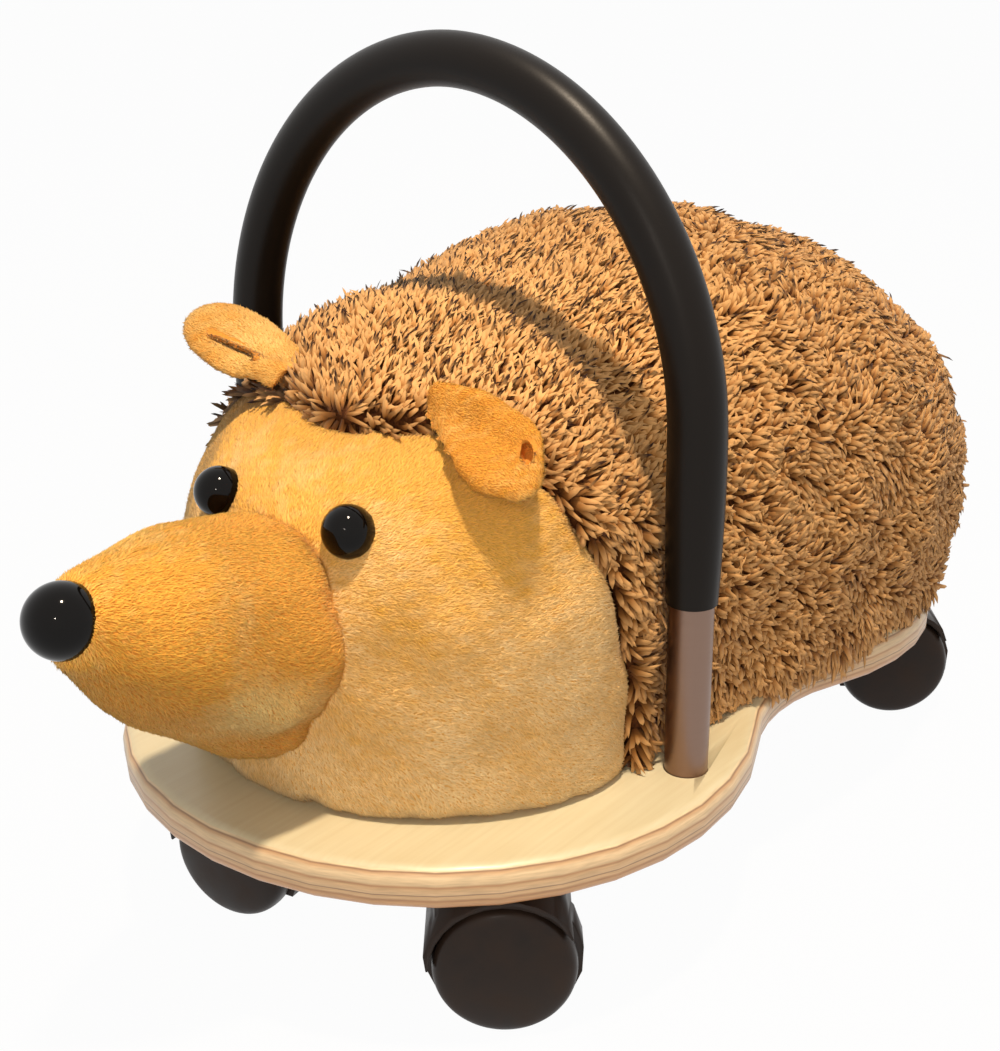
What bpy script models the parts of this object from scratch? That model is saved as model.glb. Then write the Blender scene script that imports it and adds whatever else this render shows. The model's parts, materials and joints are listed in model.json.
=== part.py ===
"""Plush hedgehog ride-on: a stuffed animal on a plywood board with a hoop handle and four swivel castors.

Metres, +Z up. The animal looks along -Y, its left side is +X, and the wheels stand on z = 0.
Places along Y are first measured from the handle's plane, and the empty "toy" then moves
everything so that the origin is under the middle of the whole length.
"""

import math

import bmesh
import bpy
from mathutils import Matrix, Vector

MM = 0.001

# Clearances shared by every fit
TOUCH_GAP = 0.3 * MM
CUT_OVERRUN = 1.5 * MM

# Edges that turn more sharply than this many degrees stay crisp
CRISP_EDGE_ANGLE = 40

# Stuffed body and head: one long dome on the board, pinched in where the handle stands
BODY_LENGTH = 430 * MM
BODY_RISE = 197.5 * MM
BELLY_BULGE = 15 * MM
BELLY_HEIGHT_SHARE = 0.36
HANDLE_STATION_SHARE = 0.288
FRONT_SQUARENESS = 2.5
REAR_SQUARENESS = 2.1
WALL_STEPS = 3
DOME_STEPS = 9
# Shares of the body's length, base half width, belly bulge and rise, from the chest to the tail
BODY_STATION_SHARES = (
    (0.000, 0.08, 0.1, 0.19),
    (0.008, 0.24, 0.1, 0.39),
    (0.019, 0.35, 0.1, 0.52),
    (0.037, 0.47, 0.1, 0.61),
    (0.060, 0.58, 0.1, 0.67),
    (0.093, 0.69, 0.1, 0.73),
    (0.140, 0.80, 0.1, 0.80),
    (0.195, 0.87, 0.1, 0.86),
    (0.253, 0.87, 0.1, 0.89),
    (0.300, 0.83, 0.1, 0.89),
    (0.347, 0.86, 0.2, 0.90),
    (0.405, 0.88, 0.4, 0.94),
    (0.486, 0.92, 0.6, 0.99),
    (0.567, 0.96, 0.7, 1.00),
    (0.660, 0.99, 0.8, 0.99),
    (0.742, 1.00, 0.8, 0.95),
    (0.819, 0.97, 0.8, 0.88),
    (0.881, 0.89, 0.8, 0.77),
    (0.930, 0.77, 0.8, 0.64),
    (0.965, 0.60, 0.9, 0.50),
    (0.988, 0.40, 0.9, 0.35),
    (1.000, 0.14, 0.9, 0.22),
)
PINCH_WIDTH_SHARE = 0.84
PINCH_BULGE_SHARE = 0.1
# The face seam leans forwards as it rises: shares of the body's rise and length
SEAM_SHARES = (
    (0.00, 0.222),
    (0.09, 0.224),
    (0.19, 0.221),
    (0.29, 0.213),
    (0.38, 0.203),
    (0.48, 0.183),
    (0.55, 0.163),
    (0.63, 0.138),
    (0.70, 0.123),
    (0.77, 0.102),
    (1.00, 0.090),
)
# The hairline peaks at the middle: shares of the half width, and of the length that it steps back there
SEAM_PEAK_SHARES = (
    (0.00, 0.000),
    (0.10, 0.004),
    (0.20, 0.016),
    (0.28, 0.029),
    (0.36, 0.041),
    (0.50, 0.049),
    (0.69, 0.050),
    (0.77, 0.037),
    (0.85, 0.017),
    (0.93, 0.000),
)

# Plywood board: a round front lobe and a longer rear lobe joined by a waist
BOARD_THICKNESS = 19.3 * MM
BOARD_ROUNDOVER = 6.5 * MM
REAR_LOBE_RADIUS = 136.5 * MM
REAR_LOBE_Y = 192 * MM
FRONT_LOBE_Y = -16 * MM
WAIST_RADIUS = 97 * MM
BODY_SIDE_MARGIN = 8.5 * MM
BODY_FRONT_MARGIN = 33 * MM
BODY_REAR_MARGIN = 3 * MM
LOBE_STEPS = 12
WAIST_STEPS = 6
ROUNDOVER_STEPS = 3

# Castors: twin wheels under a hood that swivels on a riveted kingpin
WHEEL_RADIUS = 30 * MM
WHEEL_WIDTH = 14.5 * MM
WHEEL_TREAD_ROUNDING = 4 * MM
WHEEL_FACE_DOME = 3.5 * MM
WHEEL_CHAMFER_SHARE = 0.25
WHEEL_SHOULDER_SHARE = 0.33
WHEEL_SIDES = 28
CASTOR_TRAIL = 22 * MM
CASTOR_WEB_THICKNESS = 14 * MM
HOOD_THICKNESS = 2.8 * MM
HOOD_WHEEL_CLEARANCE = 1.2 * MM
HOOD_SCREW_CLEARANCE = 2.4 * MM
HOOD_REAR_ANGLE = 30
HOOD_FRONT_ANGLE = 178
HOOD_LIP_SHARE = 0.3
HOOD_STEPS = 12
HOOD_NECK_RADIUS = 10.5 * MM
HOOD_BLOCK_CORNER_SHARE = 0.33
HOOD_BLOCK_CORNER_STEPS = 2
WEB_FLOOR_CLEARANCE = 12 * MM
AXLE_RADIUS = 3 * MM
AXLE_GRIP_IN_WHEEL = 10 * MM
KINGPIN_RADIUS = 4 * MM
KINGPIN_LENGTH = 25 * MM
PLATE_SIZE = 42 * MM
PLATE_THICKNESS = 2 * MM
PLATE_CORNER = 5 * MM
PLATE_CORNER_STEPS = 3
PLATE_SCREW_INSET = 5.5 * MM
SCREW_RADIUS = 1.9 * MM
SCREW_LENGTH = 13 * MM
SCREW_HEAD_RADIUS = 3.6 * MM
SCREW_HEAD_HEIGHT = 2.2 * MM
SCREW_CROWN_SHARE = 0.7
SCREW_SIDES = 8
FRONT_CASTOR_X_SHARE = 0.5
FRONT_CASTOR_AHEAD = 78 * MM
REAR_CASTOR_X_SHARE = 0.53
REAR_CASTOR_BEHIND = 66 * MM
# The heading, in degrees from +X, that each castor trails towards as it stands in the photograph
CASTOR_HEADING_ANGLES = {"front_left": 39, "front_right": 10, "rear_left": 38, "rear_right": 24}

# Hoop handle: one bent aluminium tube, bolted up through the board
HANDLE_TUBE_RADIUS = 9.3 * MM
HANDLE_WALL = 1.5 * MM
HANDLE_SOCKET_DEPTH = 9 * MM
HANDLE_RIM_MARGIN = 22 * MM
HANDLE_LEG_HEIGHT = 146.5 * MM
HANDLE_ARCH_RISE = 137 * MM
HANDLE_ARCH_SQUARENESS = 1.95
HANDLE_ARCH_STEPS = 26
HANDLE_SIDES = 14
GRIP_RADIUS = 12.1 * MM
GRIP_CROWN_RADIUS = 11.2 * MM
GRIP_END_RADIUS = 10.7 * MM
GRIP_FOOT_HEIGHT = 77 * MM
GRIP_TAPER_LENGTH = 40 * MM
GRIP_BODY_CLEARANCE = 3.9 * MM
PLUG_LENGTH = 34 * MM
BOLT_RADIUS = 3 * MM
BOLT_REACH_IN_PLUG = 22 * MM
BOLT_HEAD_ACROSS_FLATS = 10 * MM
BOLT_HEAD_HEIGHT = 4 * MM
BOLT_HEAD_SIDES = 6
WASHER_RADIUS = 9 * MM
WASHER_THICKNESS = 1.6 * MM
ROUND_SIDES = 20

# Snout: a plump cone that points forwards and up to the nose
NOSE_RADIUS = 14.3 * MM
NOSE_SEAT_DEPTH = 3 * MM
NOSE_SIDES = 20
SNOUT_RADIUS = 50 * MM
SNOUT_REACH = 119 * MM
SNOUT_LIFT = 50.7 * MM
SNOUT_ROOT_ALONG_SHARE = 0.074
SNOUT_ROOT_RISE_SHARE = 0.295
SNOUT_WIDTH_SHARE = 0.87
SNOUT_SIDES = 24
# Shares of the way from the nose seat to the root, and of the root's radius
SNOUT_RING_SHARES = (
    (0.00, 0.31),
    (0.09, 0.46),
    (0.20, 0.63),
    (0.33, 0.77),
    (0.48, 0.87),
    (0.66, 0.95),
    (0.83, 1.00),
    (1.00, 1.00),
)

# Eyes and ears, placed by shares of the body's half width, length and rise
EYE_RADIUS = 10.6 * MM
EYE_SIDES = 18
EYE_PLACE_SHARES = (0.285, 0.042, 0.6)
EAR_ROOT_SHARES = (0.28, 0.144, 0.78)
EAR_LENGTH = 62 * MM
EAR_WIDTH = 38 * MM
EAR_THICKNESS = 10 * MM
EAR_SIDES = 16
# Degrees: each ear's rise above level, the roll of its flat side, and the swing of both forwards
EAR_RISE_ANGLES = {"left": -8, "right": 20}
EAR_ROLL_ANGLES = {"left": 50, "right": 25}
EAR_FORWARD_ANGLE = 3
# Shares of the ear's length, width and thickness from root to tip
EAR_RING_SHARES = (
    (0.00, 0.72, 0.80),
    (0.25, 0.86, 0.95),
    (0.50, 1.00, 1.00),
    (0.75, 0.93, 0.95),
    (0.90, 0.70, 0.80),
    (0.98, 0.38, 0.50),
    (1.00, 0.12, 0.20),
)

# Plywood backer that the plush body is stretched over, screwed up through the board
BACKER_THICKNESS = 6 * MM
BACKER_SIDE_MARGIN = 44 * MM
BACKER_SEAM_MARGIN = 40 * MM
BACKER_REAR_MARGIN = 54 * MM
BACKER_CORNER = 30 * MM
BACKER_CORNER_STEPS = 5
BACKER_SCREW_SIDE_INSET = 29 * MM
BACKER_SCREW_END_INSET = 45 * MM
BACKER_SCREW_BITE = 4 * MM

# Heights, from the floor up
AXLE_HEIGHT = WHEEL_RADIUS
HOOD_INNER_RADIUS = WHEEL_RADIUS + HOOD_WHEEL_CLEARANCE
HOOD_OUTER_RADIUS = HOOD_INNER_RADIUS + HOOD_THICKNESS
HOOD_TOP = AXLE_HEIGHT + HOOD_OUTER_RADIUS + HOOD_SCREW_CLEARANCE + SCREW_HEAD_HEIGHT
PLATE_UNDERSIDE = HOOD_TOP + TOUCH_GAP
PLATE_TOP = PLATE_UNDERSIDE + PLATE_THICKNESS
BOARD_UNDERSIDE = PLATE_TOP + TOUCH_GAP
BOARD_TOP = BOARD_UNDERSIDE + BOARD_THICKNESS
PLUSH_BASE = BOARD_TOP + TOUCH_GAP
HANDLE_FOOT = BOARD_TOP - HANDLE_SOCKET_DEPTH + TOUCH_GAP
HANDLE_STRAIGHT_TOP = BOARD_TOP + HANDLE_LEG_HEIGHT
GRIP_END_HEIGHT = BOARD_TOP + GRIP_FOOT_HEIGHT
GRIP_TAPER_TOP = GRIP_END_HEIGHT + GRIP_TAPER_LENGTH

# Widths: the rear lobe sets the body, the body the handle, and the handle the front lobe
BODY_BASE_HALF_WIDTH = REAR_LOBE_RADIUS - BODY_SIDE_MARGIN
PINCH_HALF_WIDTH = BODY_BASE_HALF_WIDTH * PINCH_WIDTH_SHARE + BELLY_BULGE * PINCH_BULGE_SHARE
HANDLE_HALF_SPACING = PINCH_HALF_WIDTH + GRIP_BODY_CLEARANCE + GRIP_RADIUS
FRONT_LOBE_RADIUS = HANDLE_HALF_SPACING + HANDLE_RIM_MARGIN

# Places along Y, from the handle's plane: the board's ends follow the body's
BODY_FRONT_Y = -BODY_LENGTH * HANDLE_STATION_SHARE
BODY_REAR_Y = BODY_FRONT_Y + BODY_LENGTH
FRONT_LOBE_DEPTH = FRONT_LOBE_Y - BODY_FRONT_Y + BODY_FRONT_MARGIN
REAR_LOBE_DEPTH = BODY_REAR_Y + BODY_REAR_MARGIN - REAR_LOBE_Y
BACKER_FRONT_Y = BODY_FRONT_Y + BODY_LENGTH * SEAM_SHARES[0][1] + BACKER_SEAM_MARGIN
BACKER_REAR_Y = BODY_REAR_Y - BACKER_REAR_MARGIN
BACKER_HALF_WIDTH = BODY_BASE_HALF_WIDTH - BACKER_SIDE_MARGIN


def place_on_body(side, width_share, along_share, rise_share):
    """A point given by shares of the body's half width, length and rise."""
    return Vector((
        side * BODY_BASE_HALF_WIDTH * width_share,
        BODY_FRONT_Y + BODY_LENGTH * along_share,
        PLUSH_BASE + BODY_RISE * rise_share,
    ))


SNOUT_ROOT = place_on_body(0, 0, SNOUT_ROOT_ALONG_SHARE, SNOUT_ROOT_RISE_SHARE)
NOSE_CENTRE = SNOUT_ROOT + Vector((0, -SNOUT_REACH, SNOUT_LIFT))
NOSE_FRONT_Y = NOSE_CENTRE.y - NOSE_RADIUS
TOY_SHIFT_Y = -(NOSE_FRONT_Y + BODY_REAR_Y + BODY_REAR_MARGIN) / 2

for old in list(bpy.data.objects):
    bpy.data.objects.remove(old, do_unlink=True)


# Materials

def material(name, colour, roughness, metallic=0.0):
    made = bpy.data.materials.new(name)
    made.use_nodes = True
    shader = made.node_tree.nodes["Principled BSDF"]
    shader.inputs["Base Color"].default_value = (*colour, 1.0)
    shader.inputs["Roughness"].default_value = roughness
    shader.inputs["Metallic"].default_value = metallic
    return made


BIRCH = material("birch_plywood", (0.78, 0.60, 0.38), 0.55)
ALUMINIUM = material("satin_aluminium", (0.62, 0.61, 0.60), 0.32, 1.0)
FOAM_RUBBER = material("black_grip_rubber", (0.018, 0.014, 0.012), 0.42)
NYLON = material("black_nylon", (0.022, 0.017, 0.015), 0.38)
STEEL = material("zinc_plated_steel", (0.52, 0.52, 0.50), 0.35, 1.0)
FUR = material("brown_long_pile_plush", (0.38, 0.22, 0.09), 0.95)
FACE_PLUSH = material("golden_short_pile_plush", (0.78, 0.44, 0.13), 0.92)
SNOUT_PLUSH = material("orange_short_pile_plush", (0.66, 0.28, 0.06), 0.92)
GLOSS_BLACK = material("gloss_black_plastic", (0.010, 0.008, 0.008), 0.08)


# Mesh helpers

def add_object(name, mesh_source, look, parent, location=(0, 0, 0), turn=0.0):
    mesh = bpy.data.meshes.new(name)
    bmesh.ops.recalc_face_normals(mesh_source, faces=mesh_source.faces)
    mesh_source.to_mesh(mesh)
    mesh_source.free()
    mesh.shade_smooth()
    mesh.set_sharp_from_angle(angle=math.radians(CRISP_EDGE_ANGLE))
    mesh.materials.append(look)
    thing = bpy.data.objects.new(name, mesh)
    bpy.context.collection.objects.link(thing)
    thing.parent = parent
    thing.location = location
    thing.rotation_euler = (0, 0, turn)
    return thing


def add_empty(name, parent=None, location=(0, 0, 0), turn=0.0):
    empty = bpy.data.objects.new(name, None)
    bpy.context.collection.objects.link(empty)
    empty.parent = parent
    empty.location = location
    empty.rotation_euler = (0, 0, turn)
    return empty


def add_cutter(name, mesh_source, parent, location=(0, 0, 0)):
    cutter = add_object(name, mesh_source, NYLON, parent, location)
    cutter.hide_render = True
    cutter.display_type = "WIRE"
    return cutter


def cut(target, cutter, operation="DIFFERENCE"):
    step = target.modifiers.new(cutter.name, "BOOLEAN")
    step.object = cutter
    step.operation = operation
    step.solver = "EXACT"


def loft(rings, closed_ends=True):
    """Join rings of points, all of one length, into a skin with flat ends."""
    source = bmesh.new()
    rows = [[source.verts.new(point) for point in ring] for ring in rings]
    for low, high in zip(rows, rows[1:]):
        for index in range(len(low)):
            after = (index + 1) % len(low)
            source.faces.new((low[index], low[after], high[after], high[index]))
    if closed_ends:
        source.faces.new(rows[0])
        source.faces.new(rows[-1])
    return source


def ring(centre, across, up, sides, phase=0.0):
    """Points of an ellipse round a centre, given its two half axes as vectors."""
    angles = [2 * math.pi * (index + phase) / sides for index in range(sides)]
    return [centre + across * math.cos(angle) + up * math.sin(angle) for angle in angles]


def turned(profile, sides, axis="Z"):
    """Turn (radius, height) points round an axis; a profile that starts and ends on the axis is closed."""
    source = bmesh.new()
    rows = []
    for radius, height in profile:
        if radius == 0:
            rows.append([source.verts.new((0, 0, height))])
        else:
            angles = [2 * math.pi * index / sides for index in range(sides)]
            spots = [(radius * math.cos(angle), radius * math.sin(angle), height) for angle in angles]
            rows.append([source.verts.new(spot) for spot in spots])
    pairs = list(zip(rows, rows[1:]))
    if len(rows[0]) > 1:
        pairs.append((rows[-1], rows[0]))
    for low, high in pairs:
        for index in range(sides):
            after = (index + 1) % sides
            under = (low[index % len(low)], low[after % len(low)])
            over = (high[after % len(high)], high[index % len(high)])
            distinct = list(dict.fromkeys(under + over))
            if len(distinct) > 2:
                source.faces.new(distinct)
    if axis == "Y":
        bmesh.ops.rotate(source, verts=source.verts, matrix=Matrix.Rotation(-math.pi / 2, 3, "X"))
    return source


def pin_along_y(radius, half_length):
    """A plain cylinder along Y, centred."""
    profile = [(0, -half_length), (radius, -half_length), (radius, half_length), (0, half_length)]
    return turned(profile, ROUND_SIDES, "Y")


def prism(outline, low, high):
    """Extrude a flat outline of (x, y) points between two heights."""
    return loft([[Vector((x, y, z)) for x, y in outline] for z in (low, high)])


def upright_prism(outline, half_width, plane="XZ"):
    """Extrude an outline of (along, height) points sideways, to both sides of its plane."""
    if plane == "XZ":
        return loft([[Vector((x, side, z)) for x, z in outline] for side in (-half_width, half_width)])
    return loft([[Vector((side, y, z)) for y, z in outline] for side in (-half_width, half_width)])


def post(radius, low, high, sides, centre=(0, 0)):
    """A plain upright cylinder."""
    across = Vector((radius, 0, 0))
    up = Vector((0, radius, 0))
    return loft([ring(Vector((*centre, z)), across, up, sides) for z in (low, high)])


def joined(sources):
    """Put several meshes that don't touch into one."""
    whole = bmesh.new()
    for source in sources:
        part = bpy.data.meshes.new("part")
        source.to_mesh(part)
        source.free()
        whole.from_mesh(part)
        bpy.data.meshes.remove(part)
    return whole


def rounded_rectangle(half_x, half_y, corner, steps, centre_y=0.0):
    points = []
    for quarter, (side_x, side_y) in enumerate(((1, 1), (-1, 1), (-1, -1), (1, -1))):
        for step in range(steps + 1):
            angle = math.pi / 2 * (quarter + step / steps)
            x = side_x * (half_x - corner) + corner * math.cos(angle)
            y = side_y * (half_y - corner) + corner * math.sin(angle)
            points.append((x, y + centre_y))
    return points


# Board

def lobe_arc(radius, depth, outward, centre, start, end, steps):
    """An arc round a lobe, whose outward half, towards -Y or +Y, has a depth of its own."""
    points = []
    for step in range(steps + 1):
        angle = start + (end - start) * step / steps
        reach = depth if outward * math.sin(angle) > 0 else radius
        points.append((radius * math.cos(angle), centre + reach * math.sin(angle)))
    return points


def board_outline(inset):
    """The board's outline, moved inwards by an inset, from the front tip round by +X."""
    front = FRONT_LOBE_RADIUS - inset
    rear = REAR_LOBE_RADIUS - inset
    waist = WAIST_RADIUS + inset
    span = REAR_LOBE_Y - FRONT_LOBE_Y
    waist_rise = (span**2 + (front + waist) ** 2 - (rear + waist) ** 2) / (2 * span)
    waist_x = math.sqrt((front + waist) ** 2 - waist_rise**2)
    front_end = math.atan2(waist_rise, waist_x)
    rear_start = math.atan2(waist_rise - span, waist_x)
    half = lobe_arc(front, FRONT_LOBE_DEPTH - inset, -1, FRONT_LOBE_Y, -math.pi / 2, front_end, LOBE_STEPS)
    for step in range(1, WAIST_STEPS):
        angle = math.pi + front_end + (rear_start - front_end) * step / WAIST_STEPS
        y = FRONT_LOBE_Y + waist_rise + waist * math.sin(angle)
        half.append((waist_x + waist * math.cos(angle), y))
    half += lobe_arc(rear, REAR_LOBE_DEPTH - inset, 1, REAR_LOBE_Y, rear_start, math.pi / 2, LOBE_STEPS)
    mirrored = [(-x, y) for x, y in reversed(half[1:-1])]
    return half + mirrored


def board_rings():
    rings = []
    for end, side in ((BOARD_UNDERSIDE, 1), (BOARD_TOP, -1)):
        steps = range(ROUNDOVER_STEPS + 1) if side > 0 else reversed(range(ROUNDOVER_STEPS + 1))
        for step in steps:
            angle = math.pi / 2 * step / ROUNDOVER_STEPS
            inset = BOARD_ROUNDOVER * (1 - math.sin(angle))
            height = end + side * BOARD_ROUNDOVER * (1 - math.cos(angle))
            rings.append([Vector((x, y, height)) for x, y in board_outline(inset)])
    return rings


def backer_screw_places():
    x = BACKER_HALF_WIDTH - BACKER_SCREW_SIDE_INSET
    ends = (BACKER_FRONT_Y + BACKER_SCREW_END_INSET, BACKER_REAR_Y - BACKER_SCREW_END_INSET)
    return [(side * x, y) for side in (-1, 1) for y in ends]


def castor_places():
    front = (FRONT_LOBE_RADIUS * FRONT_CASTOR_X_SHARE, FRONT_LOBE_Y - FRONT_CASTOR_AHEAD)
    rear = (REAR_LOBE_RADIUS * REAR_CASTOR_X_SHARE, REAR_LOBE_Y + REAR_CASTOR_BEHIND)
    return {
        "front_left": front,
        "front_right": (-front[0], front[1]),
        "rear_left": rear,
        "rear_right": (-rear[0], rear[1]),
    }


def plate_screw_places(centre):
    half = PLATE_SIZE / 2 - PLATE_SCREW_INSET
    return [(centre[0] + sx * half, centre[1] + sy * half) for sx in (-1, 1) for sy in (-1, 1)]


def stepped_post(levels, centre, sides):
    """An upright round solid through (radius, height) levels."""
    across = Vector((1, 0, 0))
    up = Vector((0, 1, 0))
    return loft([ring(Vector((*centre, z)), across * r, up * r, sides) for r, z in levels])


def countersunk(radius, head_radius, head_height, low, high, centre):
    """A cylinder that widens to a cone at its lower end."""
    levels = ((head_radius, low), (radius, low + head_height), (radius, high))
    return stepped_post(levels, centre, SCREW_SIDES)


def add_board(parent):
    board = add_object("base_board", loft(board_rings()), BIRCH, parent)
    under = BOARD_UNDERSIDE - CUT_OVERRUN
    over = BOARD_TOP + CUT_OVERRUN
    holes = []
    for side in (-1, 1):
        foot = (side * HANDLE_HALF_SPACING, 0)
        socket_floor = BOARD_TOP - HANDLE_SOCKET_DEPTH
        levels = (
            (BOLT_RADIUS + TOUCH_GAP, under),
            (BOLT_RADIUS + TOUCH_GAP, socket_floor),
            (HANDLE_TUBE_RADIUS + TOUCH_GAP, socket_floor),
            (HANDLE_TUBE_RADIUS + TOUCH_GAP, over),
        )
        holes.append(stepped_post(levels, foot, HANDLE_SIDES))
    pilot_top = PLATE_UNDERSIDE + SCREW_LENGTH
    for centre in castor_places().values():
        for place in plate_screw_places(centre):
            holes.append(post(SCREW_RADIUS + TOUCH_GAP, under, pilot_top, SCREW_SIDES, place))
    hole = SCREW_RADIUS + TOUCH_GAP
    head = SCREW_HEAD_RADIUS + TOUCH_GAP + CUT_OVERRUN
    head_height = SCREW_HEAD_HEIGHT + CUT_OVERRUN
    holes += [countersunk(hole, head, head_height, under, over, place) for place in backer_screw_places()]
    cut(board, add_cutter("board_holes", joined(holes), parent))
    return board


# Castors

def wheel_source():
    """One wheel, its axle along +Y, inner face at 0 and domed outer face at +Y, with a blind bore."""
    bore = AXLE_RADIUS + TOUCH_GAP
    bore_end = AXLE_GRIP_IN_WHEEL + TOUCH_GAP
    edge = WHEEL_TREAD_ROUNDING
    chamfer = edge * WHEEL_CHAMFER_SHARE
    shoulder = WHEEL_WIDTH - WHEEL_FACE_DOME
    swell = WHEEL_FACE_DOME * WHEEL_CHAMFER_SHARE
    profile = [
        (0, bore_end),
        (bore, bore_end),
        (bore, 0),
        (WHEEL_RADIUS - chamfer, 0),
        (WHEEL_RADIUS, chamfer),
        (WHEEL_RADIUS, shoulder - edge),
        (WHEEL_RADIUS - edge * WHEEL_SHOULDER_SHARE, shoulder - chamfer),
        (WHEEL_RADIUS - edge, shoulder + swell),
        (WHEEL_RADIUS / 2, WHEEL_WIDTH - swell),
        (0, WHEEL_WIDTH),
    ]
    return turned(profile, WHEEL_SIDES, "Y")


def web_outline():
    """The hood's middle web round the axle, cut off above the floor, with the block for the kingpin."""
    radius = (HOOD_INNER_RADIUS + HOOD_OUTER_RADIUS) / 2
    low = WEB_FLOOR_CLEARANCE - AXLE_HEIGHT
    start = math.asin(low / radius)
    end = math.pi - start
    points = []
    for step in range(HOOD_STEPS + 1):
        angle = start + (end - start) * step / HOOD_STEPS
        points.append((radius * math.cos(angle), AXLE_HEIGHT + radius * math.sin(angle)))
    return points


def hood_outline():
    """The guard over both wheels: out along its outer arc, which thins at both lips, and back inside."""
    start = math.radians(HOOD_REAR_ANGLE)
    sweep = math.radians(HOOD_FRONT_ANGLE) - start
    angles = [start + sweep * step / HOOD_STEPS for step in range(HOOD_STEPS + 1)]
    lip_radius = HOOD_INNER_RADIUS + HOOD_THICKNESS * HOOD_LIP_SHARE
    outer_radii = [lip_radius] + [HOOD_OUTER_RADIUS] * (HOOD_STEPS - 1) + [lip_radius]
    arcs = list(zip(outer_radii, angles))
    arcs += [(HOOD_INNER_RADIUS, angle) for angle in reversed(angles)]
    return [(radius * math.cos(angle), AXLE_HEIGHT + radius * math.sin(angle)) for radius, angle in arcs]


def add_hood(name, swivel):
    """The hood, swivelling about its parent's origin, with the axle CASTOR_TRAIL behind that."""
    trail = Matrix.Translation((CASTOR_TRAIL, 0, 0))
    web = upright_prism(web_outline(), CASTOR_WEB_THICKNESS / 2)
    web.transform(trail)
    hood = add_object(name, web, NYLON, swivel)
    guard_half = CASTOR_WEB_THICKNESS / 2 + TOUCH_GAP + WHEEL_WIDTH - WHEEL_FACE_DOME
    guard = upright_prism(hood_outline(), guard_half)
    guard.transform(trail)
    cut(hood, add_cutter(name + "_guard", guard, swivel), "UNION")
    neck_low = AXLE_HEIGHT + WHEEL_RADIUS
    neck = post(HOOD_NECK_RADIUS, neck_low - HOOD_THICKNESS, HOOD_TOP, ROUND_SIDES)
    cut(hood, add_cutter(name + "_neck", neck, swivel), "UNION")
    block_half = CASTOR_WEB_THICKNESS / 2
    block_low = HOOD_TOP - KINGPIN_LENGTH - block_half
    corner = block_half * HOOD_BLOCK_CORNER_SHARE
    block_plan = rounded_rectangle(block_half, block_half, corner, HOOD_BLOCK_CORNER_STEPS)
    block = prism(block_plan, block_low, neck_low)
    cut(hood, add_cutter(name + "_block", block, swivel), "UNION")
    bore_low = PLATE_UNDERSIDE - KINGPIN_LENGTH - TOUCH_GAP
    bore = post(KINGPIN_RADIUS + TOUCH_GAP, bore_low, HOOD_TOP + CUT_OVERRUN, ROUND_SIDES)
    cut(hood, add_cutter(name + "_bore", bore, swivel))
    axle_hole = pin_along_y(AXLE_RADIUS + TOUCH_GAP, CASTOR_WEB_THICKNESS / 2 + CUT_OVERRUN)
    cut(hood, add_cutter(name + "_axle_hole", axle_hole, swivel, (CASTOR_TRAIL, 0, AXLE_HEIGHT)))
    return hood


def add_plate(name, parent, place):
    """The top plate with its screw holes and the kingpin riveted under it."""
    outline = rounded_rectangle(PLATE_SIZE / 2, PLATE_SIZE / 2, PLATE_CORNER, PLATE_CORNER_STEPS)
    plate = add_object(name, prism(outline, PLATE_UNDERSIDE, PLATE_TOP), STEEL, parent, (*place, 0))
    pin_top = PLATE_TOP - PLATE_THICKNESS / 2
    pin = post(KINGPIN_RADIUS, PLATE_UNDERSIDE - KINGPIN_LENGTH, pin_top, ROUND_SIDES)
    cut(plate, add_cutter(name + "_kingpin", pin, parent, (*place, 0)), "UNION")
    low = PLATE_UNDERSIDE - CUT_OVERRUN
    high = PLATE_TOP + CUT_OVERRUN
    hole = SCREW_RADIUS + TOUCH_GAP
    holes = [post(hole, low, high, SCREW_SIDES, spot) for spot in plate_screw_places((0, 0))]
    cut(plate, add_cutter(name + "_screw_holes", joined(holes), parent, (*place, 0)))


def add_plate_screws(name, parent, place):
    """Pan-head wood screws up through the plate into the board."""
    seat = PLATE_UNDERSIDE - TOUCH_GAP
    profile = [
        (0, seat - SCREW_HEAD_HEIGHT),
        (SCREW_HEAD_RADIUS * SCREW_CROWN_SHARE, seat - SCREW_HEAD_HEIGHT),
        (SCREW_HEAD_RADIUS, seat - SCREW_HEAD_HEIGHT / 2),
        (SCREW_HEAD_RADIUS, seat),
        (SCREW_RADIUS, seat),
        (SCREW_RADIUS, seat + SCREW_LENGTH - SCREW_RADIUS),
        (0, seat + SCREW_LENGTH),
    ]
    for number, spot in enumerate(plate_screw_places(place), 1):
        add_object(f"{name}_screw_{number}", turned(profile, SCREW_SIDES), STEEL, parent, (*spot, 0))


def add_castor(corner, parent, place, heading):
    add_plate(f"castor_{corner}_plate", parent, place)
    add_plate_screws(f"castor_{corner}", parent, place)
    swivel = add_empty(f"castor_{corner}_swivel", parent, (*place, 0), math.radians(heading))
    add_hood(f"castor_{corner}_hood", swivel)
    axle_half = CASTOR_WEB_THICKNESS / 2 + TOUCH_GAP + AXLE_GRIP_IN_WHEEL
    centre = (CASTOR_TRAIL, 0, AXLE_HEIGHT)
    add_object(f"castor_{corner}_axle", pin_along_y(AXLE_RADIUS, axle_half), STEEL, swivel, centre)
    offset = CASTOR_WEB_THICKNESS / 2 + TOUCH_GAP
    for side, turn, label in ((1, 0.0, "left"), (-1, math.pi, "right")):
        place_of_wheel = (CASTOR_TRAIL, side * offset, AXLE_HEIGHT)
        add_object(f"castor_{corner}_wheel_{label}", wheel_source(), NYLON, swivel, place_of_wheel, turn)


# Handle

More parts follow.
